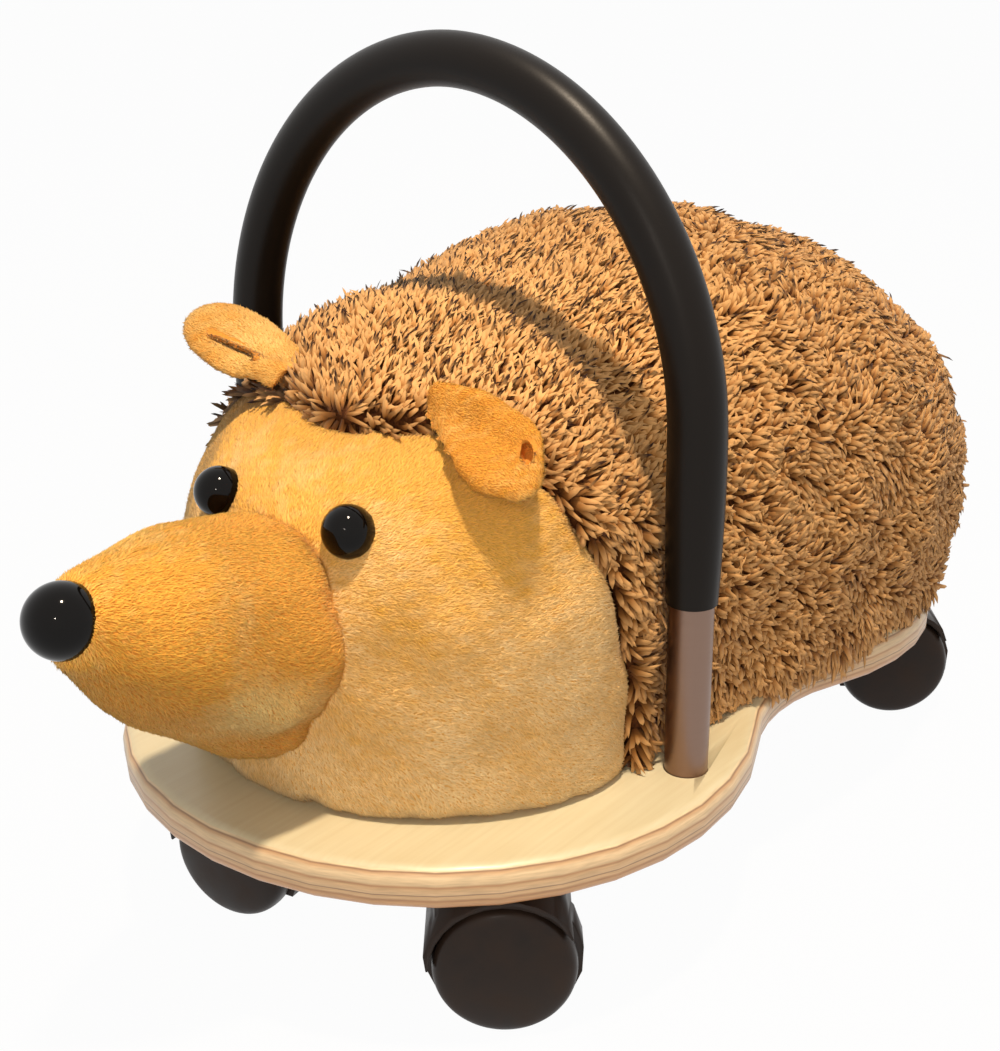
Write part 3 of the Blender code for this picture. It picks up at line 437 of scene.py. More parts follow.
def polished_plastic():
    """Polished ball: black and glassy, with the faintest waviness from the buffing wheel."""
    material, tree, shader = new_material("polished_black_plastic")
    _, bump = fine_grain(tree, 9, 0.05, 0.1 * MM, detail=1)
    connect(tree, shader, Base_Color=linear("#0A0807"), Roughness=0.07, Normal=bump,
            Specular_IOR_Level=0.16)
    return material


ALUMINIUM = satin_aluminium()
FOAM = foam_rubber()
NYLON = moulded_nylon()
STEEL = zinc_plated_steel()
GLOSS = polished_plastic()

# %% [markdown]
# ## The board
#
# The real board is cut with a router and its edge is rounded over, top and bottom. The CAD board
# gives the outline, and only its upright wall is kept: stretched to the board's full thickness and
# closed at both ends it is the sawn blank, and a Bevel does what the router's bit did. Two sockets
# are then drilled for the handle's legs.

# %% Rout the board
ROUTER_RADIUS = 6.5 * MM
ROUTER_STEPS = 8
SOCKET_RADIUS = 9.6 * MM
SOCKET_DEPTH = 9 * MM
LEG_RADIUS = 9.3 * MM
SCREW_HEAD_RADIUS = 3.9 * MM
SCREW_HEAD_DEPTH = 2.5 * MM
DRILL_SIDES = 48


def spans_the_wall(piece, face):
    """True where a face runs exactly from one round-over to the other, as the outer wall does."""
    heights = [piece.data.vertices[corner].co.z for corner in face.vertices]
    low = BOARD_BOX[0].z + ROUTER_RADIUS
    high = BOARD_BOX[1].z - ROUTER_RADIUS
    return abs(min(heights) - low) < 0.1 * MM and abs(max(heights) - high) < 0.1 * MM


def keep_faces(piece, wanted):
    """Delete every face of a piece that is not wanted."""
    select_only(piece)
    bpy.ops.object.mode_set(mode="EDIT")
    bpy.ops.mesh.select_mode(type="FACE")
    bpy.ops.mesh.select_all(action="DESELECT")
    bpy.ops.object.mode_set(mode="OBJECT")
    for face in piece.data.polygons:
        face.select = not wanted(face)
    bpy.ops.object.mode_set(mode="EDIT")
    bpy.ops.mesh.delete(type="FACE")
    bpy.ops.mesh.select_all(action="SELECT")
    bpy.ops.mesh.delete_loose()
    bpy.ops.object.mode_set(mode="OBJECT")


def drill(piece, centre, radius, low, high):
    """Drill an upright hole between two heights."""
    bpy.ops.object.select_all(action="DESELECT")
    middle = (centre.x, centre.y, (low + high) / 2)
    bpy.ops.mesh.primitive_cylinder_add(
        vertices=DRILL_SIDES, radius=radius, depth=high - low, location=middle)
    bit = new_primitive("drill")
    apply_modifier(piece, "BOOLEAN", object=bit, operation="DIFFERENCE", solver="EXACT")
    bpy.data.objects.remove(bit, do_unlink=True)


def middle_of(node):
    low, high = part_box(node)
    return (low + high) / 2


def rout_board():
    board = copy_node("base_board", "plywood_board")
    keep_faces(board, lambda face: spans_the_wall(board, face))
    bottom, top = BOARD_BOX[0].z, BOARD_BOX[1].z
    middle = (bottom + top) / 2
    for vertex in board.data.vertices:
        vertex.co.z = top if vertex.co.z > middle else bottom
    bpy.ops.object.mode_set(mode="EDIT")
    bpy.ops.mesh.select_all(action="SELECT")
    bpy.ops.mesh.fill_holes(sides=0)
    bpy.ops.mesh.normals_make_consistent(inside=False)
    bpy.ops.object.mode_set(mode="OBJECT")
    apply_modifier(board, "BEVEL", width=ROUTER_RADIUS, segments=ROUTER_STEPS, limit_method="ANGLE",
                   angle_limit=math.radians(60))
    leg_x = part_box("handle_tube")[1].x - LEG_RADIUS
    for side in (-1, 1):
        foot = Vector((side * leg_x, middle_of("handle_tube").y, 0))
        drill(board, foot, SOCKET_RADIUS, top - SOCKET_DEPTH, top + SOCKET_DEPTH)
    for number in range(1, 5):
        screw = middle_of(f"backer_screw_{number}")
        drill(board, screw, SCREW_HEAD_RADIUS, bottom - SCREW_HEAD_DEPTH, bottom + SCREW_HEAD_DEPTH)
    smooth(board, 35)
    finish_piece(board, BIRCH, "root", "birch_plywood", "base_board")


rout_board()

# %% [markdown]
# ## Handle and castors
#
# The bent tube, its foam sleeve and the castors keep the shapes of the CAD model. Each is copied and
# merged; the tube, the sleeve and the wheels are rounded off with Subdivision Surface, and the hoods
# are only shaded smooth, so that the highlights run smoothly along them.
# Sharp rims are creased first, and the little that rounding takes off is put back by fattening.

# %% Handle
def round_off(node, material, body, slot, levels, crease_over, fatten=0.0, crisp_over=40):
    """Replace a coarse round CAD node by a smoother copy of itself."""
    piece = copy_node(node, node + "_smooth")
    subdivide(piece, levels, crease_over, fatten)
    smooth(piece, crisp_over)
    finish_piece(piece, material, body, slot, node)
    return piece


round_off("handle_tube", ALUMINIUM, "root", "satin_aluminium", 2, 50, fatten=0.3 * MM)
round_off("handle_grip", FOAM, "root", "black_grip_rubber", 2, 60, fatten=0.4 * MM)

# %% Castors
CORNERS = ("front_left", "front_right", "rear_left", "rear_right")


def dress_castor(corner):
    name = f"castor_{corner}"
    hood = copy_node(f"{name}_hood", f"{name}_hood_smooth")
    smooth(hood, 38)
    finish_piece(hood, NYLON, f"{name}_swivel", "black_nylon", f"{name}_hood")
    for side in ("left", "right"):
        wheel = f"{name}_wheel_{side}"
        round_off(wheel, NYLON, wheel, "black_nylon", 2, 70, fatten=0.2 * MM)


for corner in CORNERS:
    dress_castor(corner)

# %% Eyes and nose
for ball in ("eye_left", "eye_right", "nose_button"):
    round_off(ball, GLOSS, "root", "gloss_black_plastic", 2, 60, fatten=0.3 * MM)

# %% Finishes for the CAD pieces that stay
KEPT_FINISHES = {
    "satin_aluminium": ALUMINIUM,
    "zinc_plated_steel": STEEL,
    "black_nylon": NYLON,
    "birch_plywood": BIRCH,
}
SLOT_OF_NODE = {entry["node"]: entry["material_slot"] for entry in frame["record"]["subparts"]}


def finish_kept_nodes():
    for name, node in frame["nodes"].items():
        finish = KEPT_FINISHES.get(SLOT_OF_NODE[name])
        if finish:
            node.data.materials.clear()
            node.data.materials.append(finish)


finish_kept_nodes()

# %% [markdown]
# ## The stuffed skins
#
# Under its pile the animal is a few sewn bags, stuffed tight: the face, the snout, two ears and the
# long body. The CAD gives each bag's size and place. A copy is remeshed into even little faces, so
# that no corner of the coarse solid is left, and then Blender's Cloth swells it with pressure from
# inside. How far a point may move is capped, and the foot stays flat on the board.

# %% Stuff the bags
BOARD_TOP = BOARD_BOX[1].z
PLUSH_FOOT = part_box("body")[0].z
SWELL_FRAMES = 16
SWELL_PRESSURE = 4.0


def mesh_places(piece):
    places = np.empty(len(piece.data.vertices) * 3)
    piece.data.vertices.foreach_get("co", places)
    return places.reshape(-1, 3)


def set_places(piece, places):
    piece.data.vertices.foreach_set("co", places.ravel())
    piece.data.update()


def swell(piece, furthest):
    """Blow a bag up with cloth pressure, and let no point move further than a set distance."""
    before = mesh_places(piece)
    cloth = piece.modifiers.new("stuffing", "CLOTH")
    cloth.settings.use_pressure = True
    cloth.settings.uniform_pressure_force = SWELL_PRESSURE
    cloth.settings.quality = 5
    cloth.settings.effector_weights.gravity = 0
    cloth.collision_settings.use_collision = False
    cloth.point_cache.frame_start = 1
    cloth.point_cache.frame_end = SWELL_FRAMES
    for frame_number in range(1, SWELL_FRAMES + 1):
        bpy.context.scene.frame_set(frame_number)
    select_only(piece)
    bpy.ops.object.modifier_apply(modifier=cloth.name)
    bpy.context.scene.frame_set(1)
    moved = mesh_places(piece) - before
    distance = np.linalg.norm(moved, axis=1, keepdims=True)
    moved *= np.minimum(1, furthest / np.maximum(distance, 1e-9))
    set_places(piece, before + moved)
    print(piece.name, "swelled by up to", round(float(distance.max()) / MM, 1), "mm")


def stuffed_bag(node, name, voxel, smoothing, furthest):
    """Remesh a copy of a soft CAD solid, ease its edges and swell it."""
    bag = copy_node(node, name)
    apply_modifier(bag, "REMESH", mode="VOXEL", voxel_size=voxel, use_smooth_shade=True)
    apply_modifier(bag, "SMOOTH", factor=0.5, iterations=smoothing)
    swell(bag, furthest)
    places = mesh_places(bag)
    places[:, 2] = np.maximum(places[:, 2], min(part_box(node)[0].z, places[:, 2].min() + voxel))
    set_places(bag, places)
    apply_modifier(bag, "SUBSURF", levels=1, render_levels=1)
    smooth(bag)
    return bag


FACE = stuffed_bag("head", "face_skin", 4 * MM, 6, 1.5 * MM)
SNOUT = stuffed_bag("snout", "snout_skin", 3 * MM, 5, 1.2 * MM)
BODY = stuffed_bag("body", "body_skin", 6.5 * MM, 4, 1.5 * MM)


def mesh_normals(piece):
    normals = np.empty(len(piece.data.vertices) * 3)
    piece.data.vertices.foreach_get("normal", normals)
    return normals.reshape(-1, 3)


def dent_by_hand(piece, size, depth, seed):
    """The soft lumps that the stuffing leaves: a slow rise and fall of the skin."""
    places = mesh_places(piece)
    fade = np.clip((places[:, 2] - PLUSH_FOOT) / (20 * MM), 0, 1)
    set_places(piece, places + mesh_normals(piece) * (ripple(places, size, seed) * fade * depth)[:, None])


def fading(places, start, end, reach):
    """1 on a line from start to end, 0 at a reach from it and beyond; all in millimetres."""
    start, end = (np.array(vector) * MM for vector in (start, end))
    along = end - start
    share = np.clip((places - start) @ along / max(along @ along, 1e-12), 0, 1)
    distance = np.linalg.norm(places - start - share[:, None] * along, axis=1)
    return np.clip(1 - (distance / (reach * MM)) ** 2, 0, 1) ** 2


def press(piece, start, end, reach, push):
    """Push the points round a line from start to end by a vector."""
    places = mesh_places(piece)
    set_places(piece, places + fading(places, start, end, reach)[:, None] * np.array(push) * MM)


def plump(piece, start, end, reach, amount):
    """Swell or sink the skin round a line from start to end."""
    places = mesh_places(piece)
    lift = fading(places, start, end, reach) * np.clip((places[:, 2] - PLUSH_FOOT) / (15 * MM), 0, 1)
    set_places(piece, places + mesh_normals(piece) * (lift * amount * MM)[:, None])


def ripple(places, size, seed):
    """A smooth made-up landscape between about -1 and 1, whose hills are about one size apart."""
    rng = np.random.default_rng(seed)
    total = np.zeros(len(places))
    for _ in range(7):
        direction = rng.normal(size=3)
        wave = direction / np.linalg.norm(direction) * rng.uniform(0.6, 1.5) * 2 * math.pi / size
        total += np.sin(places @ wave + rng.uniform(0, 2 * math.pi))
    return total / 3


dent_by_hand(FACE, 42 * MM, 0.9 * MM, 61)
dent_by_hand(SNOUT, 36 * MM, 0.8 * MM, 62)
dent_by_hand(BODY, 60 * MM, 1.2 * MM, 63)
# The rump and the far shoulder are stuffed fuller, and the skirt spreads to the board's edge.
plump(BODY, (40, 120, 200), (60, 210, 190), 120, 4)
plump(BODY, (-45, -55, 262), (-20, -50, 272), 55, 5)
plump(BODY, (0, 15, 285), (0, 25, 285), 45, -2.5)
press(BODY, (128, 50, 92), (110, 200, 92), 38, (6, 0, 0))
# The snout narrows to its lower right corner, and its underside is pressed in.
press(SNOUT, (42, -162, 140), (35, -168, 129), 24, (-4, 0, 2.6))
press(SNOUT, (16, -232, 163), (23, -180, 127), 21, (-1.8, 0.8, 1.8))
EARS = {
    side: stuffed_bag("ear_" + side, "ear_skin_" + side, 1.6 * MM, 3, 0.8 * MM)
    for side in ("left", "right")
}


# %% Fold the ears
# Each ear is sewn in with a fold, which leaves a hollow: a small oval at the left one's outer end,
# and a long crease down the right one, which goes right through the ear in one place. The left one
# also droops a little at that end. Both are eased before and after the cuts, and then slimmed, to
# leave room for their yarn. No short yarn grows within the reach of the line along each hollow.
EASING_BEFORE_CUTS = 7
EASING_AFTER_CUTS = 2
EAR_SLIMMING = 0.9 * MM
HOLLOWS = (
    ((89.7, -103.5, 236.5), (90.1, -106.4, 244.4), 4.3),
    ((-76, -111.6, 262), (-40, -101.6, 251.4), 2.1),
)
press(EARS["left"], (61, -106, 248), (86, -110, 240), 9, (0, 1.0, -1.0))
press(EARS["left"], (46, -111, 240), (60, -118, 229), 14, (3.2, 1.6, 2.4))
press(EARS["left"], (90, -114, 230), (97, -109, 233), 12, (2.6, 0.6, -3.0))
press(EARS["left"], (44, -98, 254.5), (62, -97.5, 255), 13, (-1.2, -1.5, 4.0))
press(EARS["left"], (38, -106, 246), (40, -108, 244), 10, (2.0, 1.2, 0.5))
press(EARS["left"], (60, -120, 230), (94, -116, 228), 21, (6.5, -7.5, 1.5))
press(EARS["right"], (-80, -110, 258), (-40, -104, 252), 60, (0, 0.5, 2.6))
press(EARS["right"], (-46, -113, 248), (-40, -111, 248), 13, (0, 1.8, 4.0))


def poke(piece, middle, deep, along, across):
    """Cut a rounded hollow: deep and along run from its middle to its ends, across is half its width."""
    middle, deep, along = (Vector(vector) * MM for vector in (middle, deep, along))
    along -= along.project(deep)
    bpy.ops.object.select_all(action="DESELECT")
    bpy.ops.mesh.primitive_uv_sphere_add(segments=32, ring_count=24, radius=1)
    thumb = new_primitive("thumb")
    sideways = deep.cross(along).normalized() * across * MM
    thumb.matrix_world = Matrix.Translation(middle) @ Matrix((along, sideways, deep)).transposed().to_4x4()
    apply_modifier(piece, "BOOLEAN", object=thumb, operation="DIFFERENCE", solver="EXACT")
    bpy.data.objects.remove(thumb, do_unlink=True)


for ear in EARS.values():
    apply_modifier(ear, "SMOOTH", factor=0.5, iterations=EASING_BEFORE_CUTS)
poke(EARS["left"], (92.2, -108.6, 241.8), (-4.5, 7.0, -2.6), (0.3, -1.8, 5.0), 2.1)
poke(EARS["right"], (-57.6, -108.6, 256.6), (-3.2, 5.4, 0.3), (23, 7.6, -6.4), 0.65)
for ear in EARS.values():
    apply_modifier(ear, "SMOOTH", factor=0.5, iterations=EASING_AFTER_CUTS)
    select_only(ear)
    bpy.ops.object.mode_set(mode="EDIT")
    bpy.ops.mesh.select_all(action="SELECT")
    bpy.ops.transform.shrink_fatten(value=-EAR_SLIMMING)
    bpy.ops.object.mode_set(mode="OBJECT")

# %% [markdown]
# ## Pile
#
# Plush is a woven backing with thousands of little locks of yarn standing in it. A long lock and a
# short one are modelled, each from a small ring that is extruded upwards and narrowed to a tip, and
# then planted all over the skins: numpy works out each lock's place, lean, length and turn, because
# an operator per lock would take hours. Every point of a lock carries how far up it lies, and two
# numbers that are its lock's own, as an attribute from which the material takes light tips, dark
# roots that are painted shade, and more painted shade on the sides of the fur and under the short pile.

# %% Model a long and a short lock of yarn
LOCK_SIDES = 3
LONG_LOCK_LEVELS = ((0.0, 0.30), (0.42, 0.50), (0.84, 0.36), (1.0, 0.0))
SHORT_LOCK_LEVELS = ((0.0, 0.5), (1.0, 0.0))


def model_lock(name, sides, levels):
    """A unit lock: a ring at the root, drawn up through (height, radius) levels to a point."""
    bpy.ops.object.select_all(action="DESELECT")
    bpy.ops.mesh.primitive_circle_add(vertices=sides, radius=levels[0][1], fill_type="NOTHING")
    lock = new_primitive(name)
    bpy.ops.object.mode_set(mode="EDIT")
    bpy.ops.mesh.select_all(action="SELECT")
    for (low, wide), (high, narrow) in zip(levels, levels[1:]):
        bpy.ops.mesh.extrude_region_move(TRANSFORM_OT_translate={"value": (0, 0, high - low)})
        if narrow:
            bpy.ops.transform.resize(value=(narrow / wide, narrow / wide, 1), center_override=(0, 0, 0))
        else:
            bpy.ops.mesh.merge(type="CENTER")
    bpy.ops.mesh.select_all(action="SELECT")
    bpy.ops.mesh.normals_make_consistent(inside=False)
    bpy.ops.mesh.quads_convert_to_tris()
    bpy.ops.object.mode_set(mode="OBJECT")
    places = mesh_places(lock)
    corners = np.empty(len(lock.data.loops), int)
    lock.data.loops.foreach_get("vertex_index", corners)
    bpy.data.objects.remove(lock, do_unlink=True)
    print(name, len(places), "points", len(corners) // 3, "triangles")
    return places, corners.reshape(-1, 3)


LONG_LOCK = model_lock("long_lock", LOCK_SIDES, LONG_LOCK_LEVELS)
SHORT_LOCK = model_lock("short_lock", LOCK_SIDES, SHORT_LOCK_LEVELS)


# %% Scatter roots over a skin
def unit(vectors):
    return vectors / np.maximum(np.linalg.norm(vectors, axis=1, keepdims=True), 1e-9)


def scatter(skin, spacing, seed):
    """Places and normals spread evenly over a skin, one for each square of the spacing."""
    mesh = skin.data
    mesh.calc_loop_triangles()
    corners = np.empty(len(mesh.loop_triangles) * 3, int)
    mesh.loop_triangles.foreach_get("vertices", corners)
    corners = corners.reshape(-1, 3)
    normals = mesh_normals(skin)
    places = mesh_places(skin)
    a, b, c = (places[corners[:, column]] for column in range(3))
    areas = np.linalg.norm(np.cross(b - a, c - a), axis=1) / 2
    total = areas.cumsum()
    count = int(total[-1] / spacing**2)
    rng = np.random.default_rng(seed)
    picks = np.searchsorted(total, (np.arange(count) + rng.random(count)) * total[-1] / count)
    picks = np.minimum(picks, len(corners) - 1)
    first = np.sqrt(rng.random(count))
    second = rng.random(count)
    weights = np.stack([1 - first, first * (1 - second), first * second], axis=1)
    roots = sum(weights[:, [column]] * places[corners[picks, column]] for column in range(3))
    leans = sum(weights[:, [column]] * normals[corners[picks, column]] for column in range(3))
    return roots, unit(leans), rng


def along_skin(flow, normals):
    """The part of a direction that runs along the skin."""
    return unit(flow - normals * np.sum(flow * normals, axis=1, keepdims=True))


def turned_on_skin(flow, normals, angles):
    """Turn directions that run along the skin by an angle each, about the skin's normal."""
    cos, sin = np.cos(angles)[:, None], np.sin(angles)[:, None]
    return flow * cos + np.cross(normals, flow) * sin


# %% Plant the locks
def plant(name, lock, softness, roots, normals, flow, rise, length, width, curl, bow, pull, own_numbers):
    """Copy a lock to every root.

    rise is how steeply a lock stands, curl how far its tip turns sideways, and bow how far the tip
    bends over and back towards the skin, both as shares of its length. pull moves each tip, and
    softness is how much of the skin's normal a lock is shaded with.
    """
    shape, corners = lock
    count, points = len(roots), len(shape)
    axis = unit(normals * rise[:, None] + flow * (1 - rise)[:, None])
    side = unit(np.cross(axis, normals))
    thick = np.cross(axis, side)
    height = shape[:, 2][None, :, None]
    bend = (flow * 0.8 - normals) * (bow * length)[:, None] + side * (curl * length)[:, None] + pull
    places = (
        roots[:, None, :]
        + side[:, None, :] * (shape[:, 0][None, :] * width[:, None])[:, :, None]
        + thick[:, None, :] * (shape[:, 1][None, :] * width[:, None])[:, :, None]
        + axis[:, None, :] * length[:, None, None] * height
        + bend[:, None, :] * height**2
    )
    triangles = (corners[None, :, :] + (np.arange(count) * points)[:, None, None]).reshape(-1, 3)
    keep_clear(places)
    mesh = bpy.data.meshes.new(name)
    mesh.vertices.add(count * points)
    mesh.vertices.foreach_set("co", places.ravel())
    mesh.loops.add(triangles.size)
    mesh.loops.foreach_set("vertex_index", triangles.ravel())
    mesh.polygons.add(len(triangles))
    mesh.polygons.foreach_set("loop_start", np.arange(len(triangles)) * 3)
    mesh.polygons.foreach_set("use_smooth", np.ones(len(triangles), bool))
    mesh.update(calc_edges=True)
    # Yarn is thousands of fibres and shades softly, so each lock borrows much of the skin's normal.
    share = np.reshape(softness, (-1, 1, 1))
    own_normals = np.empty(count * points * 3)
    mesh.vertices.foreach_get("normal", own_normals)
    soft = own_normals.reshape(count, points, 3) * (1 - share) + normals[:, None, :] * share
    mesh.normals_split_custom_set_from_vertices(unit(soft.reshape(-1, 3)))
    marks = np.ones((count, points, 4))
    marks[:, :, 0] = shape[:, 2]
    marks[:, :, 1:3] = own_numbers[:, None, :]
    layer = mesh.attributes.new("yarn", "FLOAT_COLOR", "POINT")
    layer.data.foreach_set("color", marks.ravel())
    pile = bpy.data.objects.new(name, mesh)
    bpy.context.scene.collection.objects.link(pile)
    return pile


# %% Plush materials
def plush(name, colours, tip, tipped_share, second, second_at_tip, own_range):
    """Yarn that runs from a root darkened as painted shade to its full colour, some locks with a dark tip.

    The yarn attribute holds the way up a lock in red, a number of the lock's own in green, which on the
    short pile is lowered as painted shade where it faces down, and in blue how much of the second tone
    it takes, which fades to a share of that at the tip.
    """
    material, tree, shader = new_material(name)
    yarn = add_node(tree, "ShaderNodeAttribute", {"attribute_name": "yarn"})
    parts = add_node(tree, "ShaderNodeSeparateColor", Color=yarn.outputs["Color"])
    way_up, own, tone = (parts.outputs[channel] for channel in ("Red", "Green", "Blue"))
    # The ramp's first stops darken the root: painted shade for the gaps between the locks.
    ramp = add_node(tree, "ShaderNodeValToRGB", Fac=way_up)
    stops = ramp.color_ramp.elements
    stops[0].position, stops[0].color = 0.10, linear(colours[0])
    stops[1].position, stops[1].color = 0.42, linear(colours[1])
    stops.new(0.75).color = linear(colours[2])
    tipped = calculate(tree, "LESS_THAN", own, tipped_share)
    dark = calculate(tree, "MULTIPLY", tipped, remap(tree, way_up, 0.45, 0.8))
    yarn_colour = mix_colours(tree, dark, ramp.outputs["Color"], linear(tip))
    share = calculate(tree, "MULTIPLY", tone, remap(tree, way_up, 0.3, 0.8, 1.0, second_at_tip))
    toned = mix_colours(tree, share, yarn_colour, linear(second))
    value = remap(tree, own, to_low=1 - own_range, to_high=1 + own_range)
    varied = add_node(tree, "ShaderNodeHueSaturation", Color=toned, Value=value)
    connect(tree, shader, Base_Color=varied.outputs["Color"], Roughness=0.85, Specular_IOR_Level=0.2)
    connect(tree, shader, Sheen_Weight=0.1, Sheen_Roughness=0.5)
    return material


def backing(name, dark, light, knit_size):
    """The knitted cloth that the yarn is rooted in, seen only where the pile parts."""
    material, tree, shader = new_material(name)
    place = object_place(tree)
    noise = add_node(tree, "ShaderNodeTexNoise", Vector=place, Scale=per_metre(knit_size), Detail=4.0)
    ramp = add_node(tree, "ShaderNodeValToRGB", Fac=noise.outputs["Fac"])
    stops = ramp.color_ramp.elements
    stops[0].position, stops[0].color = 0.35, linear(dark)
    stops[1].position, stops[1].color = 0.65, linear(light)
    bump = add_node(tree, "ShaderNodeBump", Height=noise.outputs["Fac"], Strength=0.5, Distance=0.3 * MM)
    connect(tree, shader, Base_Color=ramp.outputs["Color"], Normal=bump.outputs["Normal"], Roughness=0.9)
    connect(tree, shader, Specular_IOR_Level=0.15)
    return material


DARK_TIP_SHARE = 0.16
# The long pile's dark root colour and its dark brown second tone are painted shade.
FUR_YARN = plush(
    "long_pile_plush", ("#5E381C", "#A9743C", "#DAA86C"), "#351A0C", DARK_TIP_SHARE, "#553006", 0.42, 0.2)
# The face's pale second tone, laid on the lower face, is painted light.
FACE_YARN = plush("golden_plush", ("#DCA046", "#F0B852", "#FFCA68"), "#FFCA68", 0, "#FCDCA4", 1, 0.2)
# The snout's wider range of value makes the painted shade on its underside deeper.
SNOUT_YARN = plush("orange_plush", ("#E2963A", "#FAB44A", "#FFD05C"), "#FFD05C", 0, "#FFE096", 1, 0.27)
# The fur's backing cloth is coloured dark brown as painted shade, for the deep gaps where the locks part.
FUR_BACKING_PAINTED_SHADE = backing("fur_backing_painted_shade", "#3A1E0E", "#5A3418", 1.2)
EAR_YARN = plush("apricot_plush", ("#CC8430", "#E69E3C", "#FABC4C"), "#FABC4C", 0, "#FAD080", 1, 0.2)
FACE_BACKING = backing("face_backing", "#DEA656", "#EAB462", 0.8)
SNOUT_BACKING = backing("snout_backing", "#D08A38", "#E09A44", 0.8)

# %% Part the pile round its neighbours
LEG_PLACES = [(side * middle_of("handle_bolt_left").x, middle_of("handle_bolt_left").y) for side in (-1, 1)]
PILE_GAP = 0.4 * MM
PILE_FLOOR = BOARD_TOP + PILE_GAP
OVERHANG_DROP = 12 * MM
NEAR_SKIN = 12 * MM
OPEN_SHARE = 0.35
GRIP_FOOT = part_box("handle_grip")[0].z
GRIP_HALF = 12.5 * MM
HOOP_SPRING = 250 * MM


def lies_inside(tree, place):
    """Count how often a ray upwards crosses a closed skin: an odd number means inside."""
    start, crossings = Vector(place), 0
    while True:
        spot = tree.ray_cast(start, Vector((0, 0, 1)))[0]
        if spot is None:
            return crossings % 2 == 1
        crossings += 1
        start = spot + Vector((0, 0, 0.01 * MM))


def height_over(skin, places):
    """How far each place lies outside another skin: negative where it is just inside."""
    tree = BVHTree.FromObject(skin, bpy.context.evaluated_depsgraph_get())
    found = np.empty(len(places))
    for number, place in enumerate(places):
        distance = tree.find_nearest(place)[3]
        found[number] = -distance if distance < NEAR_SKIN and lies_inside(tree, place) else distance
    return found


def open_roots(roots, normals, neighbours, reach):
    """Which roots lie on open skin, neither under a neighbour nor on the flat foot."""
    tips = roots + normals * reach
    is_open = (normals[:, 2] > -0.75) | (roots[:, 2] > PLUSH_FOOT + 6 * MM)
    for neighbour in neighbours:
        is_open &= height_over(neighbour, tips) > reach * OPEN_SHARE
    return is_open


def keep_clear(places):
    """Lay points that would enter the board or a handle leg on its surface instead."""
    flat = places.reshape(-1, 3)
    board = BVHTree.FromObject(bpy.data.objects["plywood_board"], bpy.context.evaluated_depsgraph_get())
    for number in np.flatnonzero(flat[:, 2] < PILE_FLOOR):
        x, y, _ = flat[number]
        spot = board.ray_cast(Vector((x, y, BOARD_TOP + MM)), Vector((0, 0, -1)))[0]
        floor = spot.z + PILE_GAP if spot else BOARD_TOP - OVERHANG_DROP
        flat[number, 2] = max(flat[number, 2], floor)
    for x, y in LEG_PLACES:
        radius = np.where(flat[:, 2] > GRIP_FOOT, GRIP_HALF, LEG_RADIUS) + 0.3 * MM
        away = flat[:, :2] - (x, y)
        distance = np.linalg.norm(away, axis=1)
        push = (distance < radius) & (flat[:, 2] < HOOP_SPRING)
        flat[push, :2] = (x, y) + away[push] * (radius[push] / distance[push])[:, None]


# %% Grow the long pile
FUR_SPACING = 2.0 * MM
TUFT_SPACING = 7.5 * MM
SKIRT_DEPTH = 24 * MM


def towards_tufts(roots, normals, share, rng):
    """Draw each tip some way to the middle of the tuft that its lock has stuck together with."""
    count = int(len(roots) * (FUR_SPACING / TUFT_SPACING) ** 2)
    middles = rng.choice(len(roots), count, replace=False)
    tree = KDTree(count)
    for number, root in enumerate(roots[middles]):
        tree.insert(root, number)
    tree.balance()
    nearest = np.array([tree.find(root)[1] for root in roots])
    pull = roots[middles[nearest]] - roots
    pull -= normals * np.sum(pull * normals, axis=1, keepdims=True)
    return pull * share[:, None]


def roots_on_temple():
    """The hairline comes a little way onto the face below the right ear."""
    roots, normals, _ = scatter(FACE, FUR_SPACING, seed=5)
    near = (roots[:, 0] < -38 * MM) & (roots[:, 2] > 196 * MM)
    roots, normals = roots[near], normals[near]
    edge = (6.5 + 2.5 * ripple(roots, 14 * MM, 15)) * MM
    chosen = (height_over(BODY, roots) < edge) & (height_over(EARS["right"], roots) > MM)
    return roots[chosen], normals[chosen]


